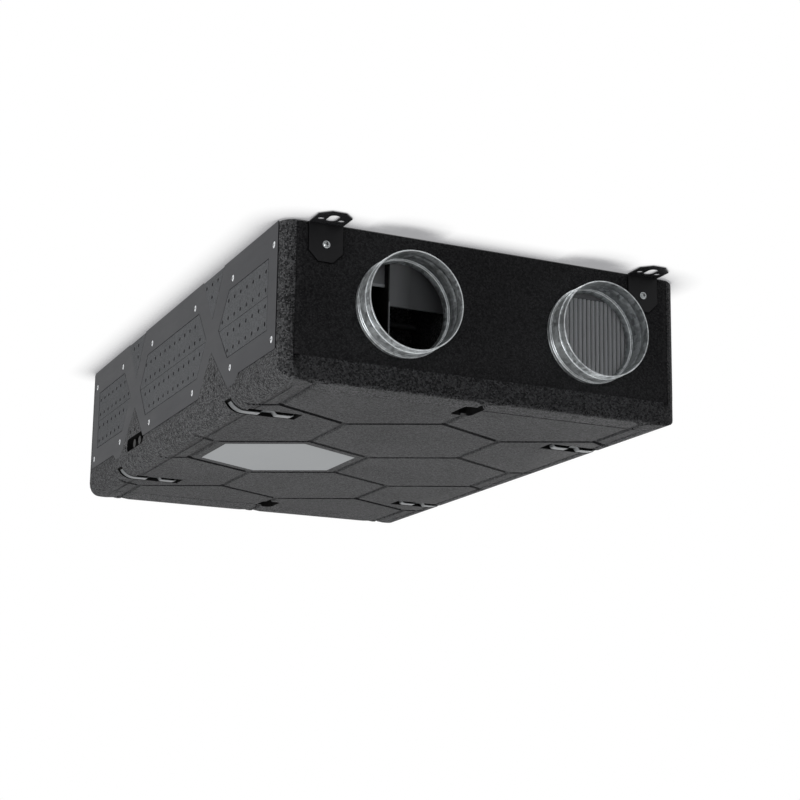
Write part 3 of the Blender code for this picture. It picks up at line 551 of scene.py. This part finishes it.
pocketSize = {"inner": 0.2360, "outer": 0.3300, "near": 0.0300, "far": 0.0100, "below": -0.0010, "deep": 0.0120,
              "legNear": 0.0195,
              "leg": ((0.3235, -0.0010), (0.3235, 0.0025), (0.3520, 0.0172), (0.3700, 0.0172), (0.3700, -0.0010))}


def widened(thing, channels):
    # each strap's pocket and channel reach further towards -Y, which leaves the dark gap beside the strap; the
    # cut walls take the near-black hollow finish, painted shade
    size = pocketSize
    for along in unitSize["strapAlong"].values():
        for sign in sides.values():
            near, far = sorted((sign * size["inner"], sign * size["outer"]))
            low, high = (near, along - size["near"], size["below"]), (far, along - size["far"], size["deep"])
            bits = [blockOf(low, high)]
            if channels:
                leg = [(sign * x, along - size["legNear"], z) for x, z in size["leg"]]
                bits.append(slab(leg, (0, size["legNear"] - size["far"], 0)))
            for bit in bits:
                coat(bit, "hollow")
                cut(thing, bit)


# side plates with countersunk screws, and the dimpled foam in their windows and notches
sideSize = {"face": 0.3625, "shift": -0.006, "foamBack": 0.3604, "windowFace": 0.3620, "windowMargin": 0.0014,
            "seam": 0.1445, "seamCut": (0.0022, 1.2, 0.0008), "plateRound": 0.0003, "square": 0.99}
windowOutlines = {"middle": [(-0.198, 0.148), (-0.155, 0.088), (0.155, 0.088), (0.198, 0.148), (0.155, 0.206),
                             (-0.155, 0.206)],
                  "front": [(-0.262, 0.148), (-0.312, 0.206), (-0.498, 0.206), (-0.498, 0.088), (-0.312, 0.088)],
                  "back": [(0.262, 0.148), (0.312, 0.088), (0.498, 0.088), (0.498, 0.206), (0.312, 0.206)]}
notches = {"upper": {"near": 0.172, "at": 0.228, "far": 0.284, "base": 0.2565, "apex": 0.176,
                     "rows": (0.240, 0.217, 0.190)},
           "lower": {"near": 0.166, "at": 0.228, "far": 0.309, "base": 0.038, "apex": 0.118,
                     "rows": (0.073, 0.048)}}
dimpleSize = {"radius": 0.0034, "depth": 0.0010, "pitch": 0.0295, "start": -0.00725, "columns": 18,
              "margin": 0.0062, "corners": 14, "windowRows": (0.187, 0.157, 0.130, 0.101)}
plateScrewSize = {"corners": 28, "radius": 0.0056, "sinkRadius": 0.0061, "sinkDepth": 0.006, "thick": 0.0009,
                  "dome": 0.0006, "domeRings": ((0.16, 0.55), (0.24, 0.33), (0.30, 0.12)), "out": 0.3624,
                  "along": (0.519, 0.327, 0.129), "rows": (0.222, 0.0685), "slot": (0.0066, 0.0014, 0.0009)}


def insideOutline(u, v, outline, margin):
    # whether a point lies inside a convex outline, by more than the margin from each edge
    clear = []
    for (a, b), (c, d) in zip(outline, outline[1:] + outline[:1]):
        length = math.hypot(c - a, d - b)
        clear.append(((c - a) * (v - b) - (d - b) * (u - a)) / length)
    return min(abs(value) for value in clear) > margin and (min(clear) > 0 or max(clear) < 0)


def dimpleSpots(outline, rows):
    # the places on the side's own grid that lie well inside an outline
    size, shift = dimpleSize, sideSize["shift"]
    columns = [size["start"] - shift + size["pitch"] * (number + 0.5)
               for number in range(-size["columns"], size["columns"])]
    return [(u + shift, v) for v in rows for u in columns if insideOutline(u, v, outline, size["margin"])]


def dimpleCutter(spots, face, sign):
    # one round bit, copied to every spot on a side face; its darker finish goes onto the dimples' walls as
    # painted shade
    size = dimpleSize
    master = drum(size["corners"], size["radius"], 2 * size["depth"], (sign * face, 0, 0), alongX)
    bits = [copied(master, Matrix.Translation((0, y, z))) for y, z in spots]
    bpy.data.objects.remove(master)
    bits = joined(bits)
    coat(bits, "dimple")
    return bits


def shrunk(outline, margin):
    us, vs = [u for u, v in outline], [v for u, v in outline]
    midU, midV = (min(us) + max(us)) / 2, (min(vs) + max(vs)) / 2
    scaleU, scaleV = 1 - 2 * margin / (max(us) - min(us)), 1 - 2 * margin / (max(vs) - min(vs))
    return [(midU + (u - midU) * scaleU, midV + (v - midV) * scaleV) for u, v in outline]


def plateScrew():
    # looks along -X, its dome at the plate's face
    size = plateScrewSize
    middle = -size["out"] + size["dome"] + size["thick"] / 2
    screw = drum(size["corners"], size["radius"], size["thick"], (middle, 0, 0), alongX)

    def dome():
        bpy.ops.mesh.select_all(action="DESELECT")
        bpy.ops.object.mode_set(mode="OBJECT")
        for face in screw.data.polygons:
            face.select = face.normal.x < -0.9
        bpy.ops.object.mode_set(mode="EDIT")
        for share, rise in size["domeRings"]:
            bpy.ops.mesh.inset(thickness=size["radius"] * share, use_boundary=True)
            bpy.ops.transform.translate(value=(-size["dome"] * rise, 0, 0))
    editing(screw, dome)
    coat(screw, "bright")
    cut(screw, crossBit(size["slot"], -size["out"]))
    smooth(screw, 30)
    return screw


def sidePlate(side, screwMaster):
    sign, size = sides[side], plateScrewSize
    plate = dressedCopy("side_plate_" + side, "plate", bevel=sideSize["plateRound"], segments=1)
    spots = [(sideSize["shift"] + turn * along, row)
             for turn in (-1, 1) for along in size["along"] for row in size["rows"]]
    for y, z in spots:
        middle = (sign * sideSize["face"], y, z)
        cut(plate, drum(size["corners"], size["sinkRadius"], size["sinkDepth"], middle, alongX))
    faired(plate)
    settle(plate, "sidePlate" + side.title(), "plate", "side_plate_" + side)
    facing = Matrix.Identity(4) if side == "left" else halfTurn
    heads = [copied(screwMaster, Matrix.Translation((0, y, z)) @ facing) for y, z in spots]
    settle(joined(heads), "plateScrews" + side.title(), "bright")


def windowFoam(side, label):
    # the shell's own foam, seen through a window of the plate
    sign, size, outline = sides[side], sideSize, windowOutlines[label]
    corners = [(sign * size["foamBack"], u + size["shift"], v)
               for u, v in shrunk(outline, size["windowMargin"])]
    window = slab(corners, (sign * (size["windowFace"] - size["foamBack"]), 0, 0))
    coat(window, "window", "dimple")
    cut(window, dimpleCutter(dimpleSpots(outline, dimpleSize["windowRows"]), size["windowFace"], sign))
    # the seam's groove takes the darker dimple finish: painted shade
    seam = boxAt((sign * size["face"], size["shift"], size["seam"]), size["seamCut"])
    coat(seam, "dimple")
    cut(window, seam)
    smooth(window)
    settle(window, "windowFoam" + side.title() + label.title(), "window")


def notchDimples(shell, notch, sign):
    spots = []
    for turn in (-1, 1):
        outline = [(turn * notch["near"], notch["base"]), (turn * notch["at"], notch["apex"]),
                   (turn * notch["far"], notch["base"])]
        spots += dimpleSpots(outline, notch["rows"])
    cut(shell, dimpleCutter(spots, sideSize["face"], sign))


shells = {level: dressedCopy("housing_" + level, "shell", "dimple", "window", "hollow") for level in notches}
screwMaster = plateScrew()
for side, sign in sides.items():
    sidePlate(side, screwMaster)
    for label in windowOutlines:
        windowFoam(side, label)
    for level, shell in shells.items():
        notchDimples(shell, notches[level], sign)
bpy.data.objects.remove(screwMaster)

# the foam in the top notches is as fine as in the windows
for face in shells["upper"].data.polygons:
    outside = abs(face.center.x) > sideSize["windowFace"] and abs(face.normal.x) > sideSize["square"]
    if outside and face.material_index == 0:
        face.material_index = 2
widened(shells["lower"], True)
for level, shell in shells.items():
    paintRecessShade(shell)
    faired(shell)
    settle(shell, "shell" + level.title(), "shell", "housing_" + level)

# the cover, where the pattern's slopes that look along the unit get a darker foam, painted shade
coverSize = {"grooveDeep": 0.0050, "shaded": 0.30}
cover = dressedCopy("service_cover", "cover", "groove", "hollow")
widened(cover, False)
for face in cover.data.polygons:
    inGroove = hollowSize["skin"] < face.center.z < coverSize["grooveDeep"]
    if inGroove and abs(face.normal.y) > coverSize["shaded"]:
        face.material_index = 1
paintRecessShade(cover)
faired(cover)
settle(cover, "serviceCover", "cover", "service_cover")

# end panels, with their duct chambers opened and the bracket legs let in
panelSize = {"thinWall": 0.0120, "chamberFront": -0.5290, "legHalf": 0.0285, "legLow": 0.1930,
             "legCorner": 0.0165, "pocketRoom": 0.0017, "cornerRoom": 0.4, "pocketDepth": 0.0030,
             "ahead": 0.0020, "top": 0.2600}


def chamberBit(x):
    size, half = unitSize, unitSize["chamberHalf"]
    return blockOf((x - half, panelSize["thinWall"] - size["endWall"], size["chamberLow"]),
                   (x + half, panelSize["chamberFront"], size["chamberTop"]))


def legPocket(x):
    # the bracket leg's outline, a little larger, sunk into the panel
    size, room = panelSize, panelSize["pocketRoom"]
    half, low = size["legHalf"] + room, size["legLow"] - room
    corner = size["legCorner"] + room * size["cornerRoom"]
    front, top = -unitSize["endWall"] - size["ahead"], size["top"]
    line = [(x - half, front, top), (x - half, front, low + corner), (x - half + corner, front, low),
            (x + half - corner, front, low), (x + half, front, low + corner), (x + half, front, top)]
    return slab(line, (0, size["ahead"] + size["pocketDepth"], 0))


def endPanel(end, level):
    nodeName = f"end_panel_{end}_{level}"
    panel = dressedCopy(nodeName, "panel", "dimple")
    bits = [chamberBit(x) for x in (unitSize["fanX"], unitSize["filterX"])]
    if level == "upper":
        bits += [legPocket(sign * unitSize["bracketX"]) for sign in sides.values()]
    # the chamber walls and the leg pockets take the darker dimple finish: painted shade
    for bit in bits:
        coat(bit, "dimple")
        bit.data.transform(Matrix.Rotation(ends[end], 4, "Z"))
        cut(panel, bit)
    faired(panel)
    settle(panel, f"endPanel{end.title()}{level.title()}", "panel", nodeName)


for end in ends:
    for level in ("upper", "lower"):
        endPanel(end, level)
print("shell, side plates, window foam and screws done")

# the brackets' screws: a flanged dome with a cross recess, on its shank
bracketScrewSize = {"z": 0.2210, "sheet": 0.0026, "flange": 0.0063, "flangeThick": 0.0011, "soft": 0.0003,
                    "taper": 0.0001, "crown": 0.0046, "crownFoot": 0.0002, "rise": 0.0024, "bulge": 0.6,
                    "arc": (0.1, 0.45, 0.8, 1.15, 1.4), "axis": 0.00001, "steps": 32,
                    "slot": (0.0058, 0.0019, 0.0018), "shank": 0.0032, "shankCorners": 20, "reach": 0.0180,
                    "proud": 0.0004}


def bracketScrew():
    # spun about Y, its head looking along -Y
    size = bracketScrewSize
    flange, thick, soft = size["flange"], size["flangeThick"], size["soft"]
    tip = -thick - size["rise"]
    profile = [(0.0, size["axis"]), (0.0, flange - soft), (-soft, flange),
               (soft - thick, flange - size["taper"]),
               (-thick, flange - 2 * soft), (-thick, size["crown"] + size["crownFoot"])]
    profile += [(-thick - size["rise"] * math.sin(turn), size["crown"] * math.cos(turn) ** size["bulge"])
                for turn in size["arc"]]
    screw = turned(profile + [(tip, size["axis"])], size["steps"], 30)
    coat(screw, "rolled")
    bit = crossBit(size["slot"], 0.0)
    bit.data.transform(Matrix.Translation((0, tip, 0)) @ Matrix.Rotation(math.pi / 2, 4, "Z"))
    cut(screw, bit)
    middle = size["reach"] / 2 - size["proud"]
    shank = drum(size["shankCorners"], size["shank"], size["reach"], (0, middle, 0), alongY)
    coat(shank, "rolled")
    screw = joined([screw, shank])
    smooth(screw, 30)
    return screw


# a sprung strip for the left side: down the rounded edge, along, up and down over the dip, to its turned-in end
strapSize = {"half": 0.00825, "sheet": 0.0015, "round": 0.0003, "middle": (-0.3295, 0.0330), "legFrom": 36.0,
             "legTo": 88.0, "legNear": 0.0303, "legFar": 0.0318, "legSteps": 9, "low": 0.00105, "high": 0.0070,
             "bend": -0.3235, "slope": 0.0060, "hook": ((0.0060, 0.00105), (0.0020, 0.0026)),
             "dips": {"left": (-0.3030, -0.2730, -0.2420), "right": (-0.3090, -0.2840, -0.2550)}}


def strapLine(side):
    # the middle of the strip's sheet, as points of X and Z
    size = strapSize
    line = []
    for number in range(size["legSteps"]):
        share = number / (size["legSteps"] - 1)
        turn = math.radians(size["legFrom"] + (size["legTo"] - size["legFrom"]) * share)
        away = size["legNear"] + (size["legFar"] - size["legNear"]) * share
        line.append((size["middle"][0] - away * math.cos(turn), size["middle"][1] - away * math.sin(turn)))
    dipOut, dipIn, tip = size["dips"][side]
    line += [(size["bend"], size["low"]), (dipOut, size["low"]), (dipOut + size["slope"], size["high"]),
             (dipIn - size["slope"], size["high"]), (dipIn, size["low"])]
    return line + [(tip - back, rise) for back, rise in size["hook"]] + [(tip, size["high"])]


def coverStrap(side):
    # the line gets the sheet's thickness on both faces, then the strip's width
    half, sheet, line = strapSize["half"], strapSize["sheet"] / 2, strapLine(side)
    edges = {1: [], -1: []}
    for number, (x, z) in enumerate(line):
        before, after = line[max(number - 1, 0)], line[min(number + 1, len(line) - 1)]
        run = Vector((after[0] - before[0], after[1] - before[1])).normalized() * sheet
        for face in edges:
            edges[face].append((x - face * run.y, -half, z + face * run.x))
    strap = slab(edges[1] + edges[-1][::-1], (0, 2 * half, 0))
    coat(strap, "strap")
    rounded(strap, strapSize["round"], 2, 60)
    faired(strap, 30)
    return strap


screwMaster = bracketScrew()
strapMasters = {side: coverStrap(side) for side in sides}
screwOut = -unitSize["endWall"] - bracketScrewSize["sheet"]
for end, turn in ends.items():
    for x in (-unitSize["bracketX"], unitSize["bracketX"]):
        side = cornerOf(end, x)
        label, corner = end.title() + side.title(), f"{end}_{side}"
        bracket = dressedCopy("hanger_bracket_" + corner, "bracket", bevel=0.0005)
        faired(bracket)
        settle(bracket, "bracket" + label, "bracket", "hanger_bracket_" + corner)
        facing = Matrix.Identity(4) if side == "left" else halfTurn
        place = Matrix.Translation((0, unitSize["strapAlong"][end], 0)) @ facing
        settle(copied(strapMasters[side], place), "strap" + label, "strap", "cover_strap_" + corner)
        spot = Matrix.Rotation(turn, 4, "Z") @ Matrix.Translation((x, screwOut, bracketScrewSize["z"]))
        settle(copied(screwMaster, spot), "bracketScrew" + label, "bright", "bracket_screw_" + corner)
for master in (screwMaster, *strapMasters.values()):
    bpy.data.objects.remove(master)
print("brackets and straps done")

# duct spigots: turned tubes with a rolled rim, two pressed beads, a wall collar and an inner shoulder
spigotSize = {"radius": 0.080, "wall": 0.0011, "reach": 0.055, "roll": 0.0011, "rollShare": 0.9, "ribSteps": 8,
              "beads": ((0.0185, 0.0015, 0.0020, 0.35), (0.0470, 0.0025, 0.0036, 1.0)), "innerSpread": 1.9,
              "seat": 0.0004, "collar": 0.0010, "collarFoot": 0.0030, "collarCrest": 0.0016,
              "sleeve": 0.0115, "sleeveIn": 0.0009, "sleeveLip": 0.0016,
              "sleeveEnd": ((0.0, 0.0003), (-0.0006, 0.0)),
              "shoulder": 0.0016, "shoulderLine": ((0.0030, 0.0), (0.0016, 0.0006)),
              "throatLine": ((0.0004, -0.0004), (-0.0010, 0.0)), "rimEnd": 0.0002, "steps": 112}
brightParts = {"crest": 0.0009, "rim": (-0.0060, 0.0016), "echo": (0.0004, 0.0018)}


def rib(along, radius, height, half, count):
    # a rounded rib as points of distance along and radius
    return [(along - half * math.cos(math.pi * i / count), radius + height * math.sin(math.pi * i / count))
            for i in range(count + 1)]


def spigotProfile(size):
    outer, inner, rim = size["radius"], size["radius"] - size["wall"], -size["reach"]
    sleeve, step = outer - size["sleeveIn"], inner - size["shoulder"]
    line = rib(rim + size["roll"], outer, size["roll"] * size["rollShare"], size["roll"], 6)
    for place, height, half, echo in size["beads"]:
        line += rib(rim + place, outer, height, half, size["ribSteps"])
    line += [(-size["collarFoot"], outer), (-size["collarCrest"], outer + size["collar"]),
             (-size["seat"], outer + size["collar"]), (-size["seat"], sleeve), (size["sleeve"], sleeve),
             (size["sleeve"] + size["seat"], outer - size["sleeveLip"])]
    line += [(size["sleeve"] + along, step + rise) for along, rise in size["sleeveEnd"]]
    line += [(along, step + rise) for along, rise in size["shoulderLine"]]
    line += [(along, inner + rise) for along, rise in size["throatLine"]]
    for place, height, half, echo in reversed(size["beads"]):
        line += rib(rim + place, inner, height * echo, half * size["innerSpread"], size["ribSteps"])[::-1]
    return line + [(rim + size["rimEnd"], inner)]


def rubbedBright(thing):
    # the crests of the beads, their echoes inside and the rim
    size, bright = spigotSize, brightParts
    inner = size["radius"] - size["wall"]
    for face in thing.data.polygons:
        away, back = math.hypot(face.center.x, face.center.z), face.center.y + size["reach"]
        crest = away > size["radius"] + bright["crest"] or bright["rim"][0] < back < bright["rim"][1]
        echo = inner + bright["echo"][0] < away < size["radius"] + bright["echo"][1]
        face.material_index = int(crest or echo and face.normal.dot(face.center) < 0)


spigotMaster = turned(spigotProfile(spigotSize), spigotSize["steps"])
coat(spigotMaster, "zinc", "rolled")
rubbedBright(spigotMaster)
for end in ends:
    for side in sides:
        nodeName = f"spigot_{end}_{side}"
        low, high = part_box(nodeName)
        middle = (Vector(low) + Vector(high)) / 2
        wallY = (low[1] + spigotSize["reach"]) if end == "front" else (high[1] - spigotSize["reach"])
        spot = Matrix.Translation((middle.x, wallY, middle.z)) @ Matrix.Rotation(ends[end], 4, "Z")
        settle(copied(spigotMaster, spot), f"spigot{end.title()}{side.title()}", "zinc", nodeName)
bpy.data.objects.remove(spigotMaster)
print("spigots turned")

# pleated filters: folded fibre under a smooth head strip, close behind the spigot
filterSize = {"front": -0.5508, "back": -0.4490, "pitch": 0.0083, "depth": 0.0090, "head": 0.0205,
              "sill": 0.0040, "frame": 0.0016, "foldStart": 0.0030, "side": 0.0005, "sunk": 0.0006,
              "board": 0.0040, "step": 0.0002, "round": 0.0012}
pleatShape = ((0.00, 1.00), (0.11, 0.42), (0.20, 0.10), (0.34, 0.00), (0.66, 0.00), (0.80, 0.10), (0.89, 0.42))


def filterFoldsWithPaintedShade(left, right, floor, ceiling, board):
    size = filterSize
    front = size["front"] + size["sunk"]
    count = int((right - left) / size["pitch"])
    pitch = (right - left - 2 * size["side"]) / count
    line = [(left + size["side"] + pitch * (number + share), front + size["depth"] * sink, floor)
            for number in range(count) for share, sink in pleatShape]
    line += [(right - size["side"], board, floor), (left + size["side"], board, floor)]
    folds = slab(line, (0, 0, ceiling - floor))
    coat(folds, "filter", "fold")
    # painted shade: the deeper faces of the pleats and the board behind take the dark fold fibre
    for face in folds.data.polygons:
        face.material_index = int(face.center.y > front + size["foldStart"])
    smooth(folds, 50)
    return folds


def filterPack(end):
    size = filterSize
    half = unitSize["chamberHalf"] - unitSize["chamberGap"]
    left, right = unitSize["filterX"] - half, unitSize["filterX"] + half
    floor, ceiling = chamberFloor + size["sill"], chamberRoof - size["head"]
    board = size["front"] + size["depth"] + size["board"]
    parts = [filterFoldsWithPaintedShade(left, right, floor, ceiling, board)]
    bars = ((ceiling, chamberRoof, size["front"], "filterHead"),
            (chamberFloor, floor, size["front"] + size["frame"], "filterEdge"),
            (floor, ceiling, board + size["step"], "filterEdge"))
    for low, high, front, key in bars:
        bar = blockOf((left, front, low), (right, size["back"], high))
        coat(bar, key)
        rounded(bar, size["round"], 3)
        smooth(bar)
        parts.append(bar)
    pack = joined(parts)
    pack.data.transform(Matrix.Rotation(ends[end], 4, "Z"))
    settle(pack, "filterPack" + end.title(), "filter", "filter_pack_" + end)


# the fan's divider with its bright edge, and the hood that curves back over the throat
dividerSize = {"x": -0.1740, "sheet": 0.0025, "front": -0.5480, "back": -0.4120, "round": 0.0006,
               "edge": 0.0009, "edgeProud": (0.0006, 0.0002), "edgeBack": 0.0010,
               "edgeLow": 0.0900, "edgeTop": 0.1500,
               "shelf": (0.1475, 0.1560), "shelfRight": -0.0620, "shelfFront": -0.4300, "shelfRound": 0.0030}
hoodSize = {"half": 0.0874, "front": -0.5500, "run": 0.0210, "drop": 0.0740, "sheet": 0.0022, "arcSteps": 18,
            "lip": 0.0026, "lipTop": 0.0004, "lipRound": 0.0010, "roofDrop": 0.0030,
            "guard": (-0.5330, -0.5308, 0.1775), "guardLip": (0.0016, 0.0042), "guardLow": 0.0006,
            "guardRound": 0.0007}
dividerRight = dividerSize["x"] + dividerSize["sheet"] / 2
dividerLeft = dividerSize["x"] - dividerSize["sheet"] / 2


def fanDivider(end):
    size = dividerSize
    wall = blockOf((dividerLeft, size["front"], chamberFloor), (dividerRight, size["back"], chamberRoof))
    coat(wall, "plastic")
    rounded(wall, size["round"], 2)
    ahead, aside = size["edgeProud"]
    edge = blockOf((dividerRight - size["edge"], size["front"] - ahead, size["edgeLow"]),
                   (dividerRight + aside, size["front"] + size["edgeBack"], size["edgeTop"]))
    coat(edge, "filterEdge")
    low, high = size["shelf"]
    shelf = blockOf((dividerRight, size["shelfFront"], low), (size["shelfRight"], size["back"], high))
    coat(shelf, "hood")
    rounded(shelf, size["shelfRound"], 4)
    wall = joined([wall, edge, shelf])
    smooth(wall)
    wall.data.transform(Matrix.Rotation(ends[end], 4, "Z"))
    settle(wall, "fanDivider" + end.title(), "plastic", "fan_divider_" + end)


def hoodArc(run, drop, base):
    # a quarter of an ellipse, from the roof down to the lip
    turns = [math.pi / 2 * number / hoodSize["arcSteps"] for number in range(hoodSize["arcSteps"] + 1)]
    return [(dividerRight, hoodSize["front"] + run * math.sin(a), base + drop * math.cos(a)) for a in turns]


def fanHood(end):
    size, thin = hoodSize, hoodSize["sheet"]
    left, right = unitSize["fanX"] - size["half"], unitSize["fanX"] + size["half"]
    base = chamberRoof - size["drop"]
    inner = hoodArc(size["run"] - thin, size["drop"] - thin, base)
    hood = slab(hoodArc(size["run"], size["drop"], base) + inner[::-1], (right - dividerRight, 0, 0))
    coat(hood, "hood")
    smooth(hood, 40)
    lipY = size["front"] + size["run"] - thin / 2
    lip = blockOf((dividerRight, lipY - size["lip"], base - size["lip"]),
                  (right, lipY + thin / 2, base + size["lipTop"]))
    coat(lip, "hood")
    rounded(lip, size["lipRound"], 3)
    ceiling = chamberRoof - size["roofDrop"]
    roof = blockOf((left, size["front"], ceiling), (dividerLeft, dividerSize["back"], chamberRoof))
    coat(roof, "hood")
    near, far, low = size["guard"]
    guard = blockOf((left, near, low), (dividerLeft, far, ceiling))
    coat(guard, "hood")
    ahead, rise = size["guardLip"]
    guardLip = blockOf((left, near - ahead, low - size["guardLow"]), (dividerLeft, far, low + rise))
    coat(guardLip, "filterEdge")
    rounded(guardLip, size["guardRound"], 2)
    hood = joined([hood, lip, roof, guard, guardLip])
    hood.data.transform(Matrix.Rotation(ends[end], 4, "Z"))
    settle(hood, "fanHood" + end.title(), "hood", "fan_hood_" + end)


for end in ends:
    filterPack(end)
    fanDivider(end)
    fanHood(end)
print("filters folded, fan housings done")

# camera at the photograph's viewing angle
cameraPlace = {"lens": 77.795, "sensor": 36.0, "location": (-1.2573, -2.9521, -0.6527), "yaw": 0.4316,
               "pitch": 0.2019, "roll": 0.0148, "shift": 0.08, "clip": (0.05, 200.0)}


def makeCamera(place):
    data = bpy.data.cameras.new("photoCamera")
    data.lens, data.sensor_width, data.shift_y = place["lens"], place["sensor"], place["shift"]
    data.clip_start, data.clip_end = place["clip"]
    camera = bpy.data.objects.new("photoCamera", data)
    bpy.context.scene.collection.objects.link(camera)
    yaw, pitch, roll = place["yaw"], place["pitch"], place["roll"]
    level = Vector((math.sin(yaw), math.cos(yaw), 0.0))
    ahead = level * math.cos(pitch) + Vector((0, 0, math.sin(pitch)))
    rise = Vector((0, 0, math.cos(pitch))) - level * math.sin(pitch)
    across = Vector((math.cos(yaw), -math.sin(yaw), 0.0))
    right = across * math.cos(roll) + rise * math.sin(roll)
    upward = rise * math.cos(roll) - across * math.sin(roll)
    turn = Matrix((right, upward, -ahead)).transposed().to_4x4()
    camera.matrix_world = Matrix.Translation(place["location"]) @ turn
    bpy.context.scene.camera = camera


makeCamera(cameraPlace)

# floor and ceiling, which only the camera sees and only from their face side
stageLook = {"ceiling": {"height": 0.2580, "turn": math.pi, "reach": 0.060, "falloff": 0.6,
                         "contact": (0.36, 0.36, 0.37)},
             "floor": {"height": -0.0010, "turn": 0.0, "reach": 0.45, "falloff": 0.8,
                       "contact": (0.22, 0.22, 0.23)}}
stageSize = {"span": 60.0, "samples": 8}


def stagePaint(name, look):
    # white far off, shaded where the unit meets it
    paint = Paint(name)
    fromFace = 1.0 - paint.node("ShaderNodeNewGeometry")["Backfacing"]
    seen = paint.node("ShaderNodeLightPath")["Is Camera Ray"] * fromFace
    samples = {"samples": stageSize["samples"]}
    occlusion = paint.node("ShaderNodeAmbientOcclusion", samples, {"Distance": look["reach"]})
    share = ((occlusion["AO"] - 0.5) * 2.0).limited() ** look["falloff"]
    tone = paint.mix(share, look["contact"], (1.0, 1.0, 1.0))
    lit = paint.node("ShaderNodeEmission", {}, {"Color": tone, "Strength": 1.0})["Emission"]
    clear = paint.node("ShaderNodeBsdfTransparent")["BSDF"]
    mixed = paint.node("ShaderNodeMixShader", {}, {0: seen, 1: clear, 2: lit})["Shader"]
    paint.node("ShaderNodeOutputMaterial", {}, {"Surface": mixed})
    return paint.material


for name, look in stageLook.items():
    bpy.ops.object.select_all(action="DESELECT")
    bpy.ops.mesh.primitive_plane_add(size=stageSize["span"], location=(0, 0, look["height"]),
                                     rotation=(look["turn"], 0, 0))
    plane = bpy.context.object
    plane.name = name
    plane.data.materials.append(stagePaint(name + "Paint", look))

# light
lamps = {"under": {"at": (1.3, 0.9, -2.6), "to": (0.0, 0.0, 0.0), "size": 2.0, "power": 36.0},
         "leftSide": {"at": (-2.4, -0.6, -0.9), "to": (0.0, 0.0, 0.1), "size": 1.1, "power": 47.0},
         "rightBack": {"at": (2.6, 2.2, 0.5), "to": (0.0, 0.0, 0.1), "size": 1.6, "power": 34.0},
         "above": {"at": (0.5, 0.4, 3.2), "to": (0.0, 0.0, 0.2), "size": 2.4, "power": 62.0}}
for name, lamp in lamps.items():
    data = bpy.data.lights.new(name, "AREA")
    data.size, data.energy = lamp["size"], lamp["power"]
    light = bpy.data.objects.new(name, data)
    bpy.context.scene.collection.objects.link(light)
    light.location = lamp["at"]
    light.rotation_euler = (Vector(lamp["to"]) - Vector(lamp["at"])).to_track_quat("-Z", "Y").to_euler()

# the camera, mirrors and glass see the white studio, and the diffuse light is the soft surround
worldLook = {"seen": (1.0, 1.0, 1.0), "around": (0.17, 0.17, 0.175)}
world = bpy.data.worlds.new("studio")
bpy.context.scene.world = world
studio = Graph(world)
rays = studio.node("ShaderNodeLightPath")
direct = rays["Is Camera Ray"].greater(rays["Is Glossy Ray"]).greater(rays["Is Transmission Ray"])
around = studio.node("ShaderNodeBackground", {}, {"Color": worldLook["around"]})["Background"]
seen = studio.node("ShaderNodeBackground", {}, {"Color": worldLook["seen"]})["Background"]
sky = studio.node("ShaderNodeMixShader", {}, {0: direct, 1: around, 2: seen})["Shader"]
studio.node("ShaderNodeOutputWorld", {}, {"Surface": sky})
bpy.context.scene.view_settings.view_transform = "Standard"
print("camera, stage and light set")
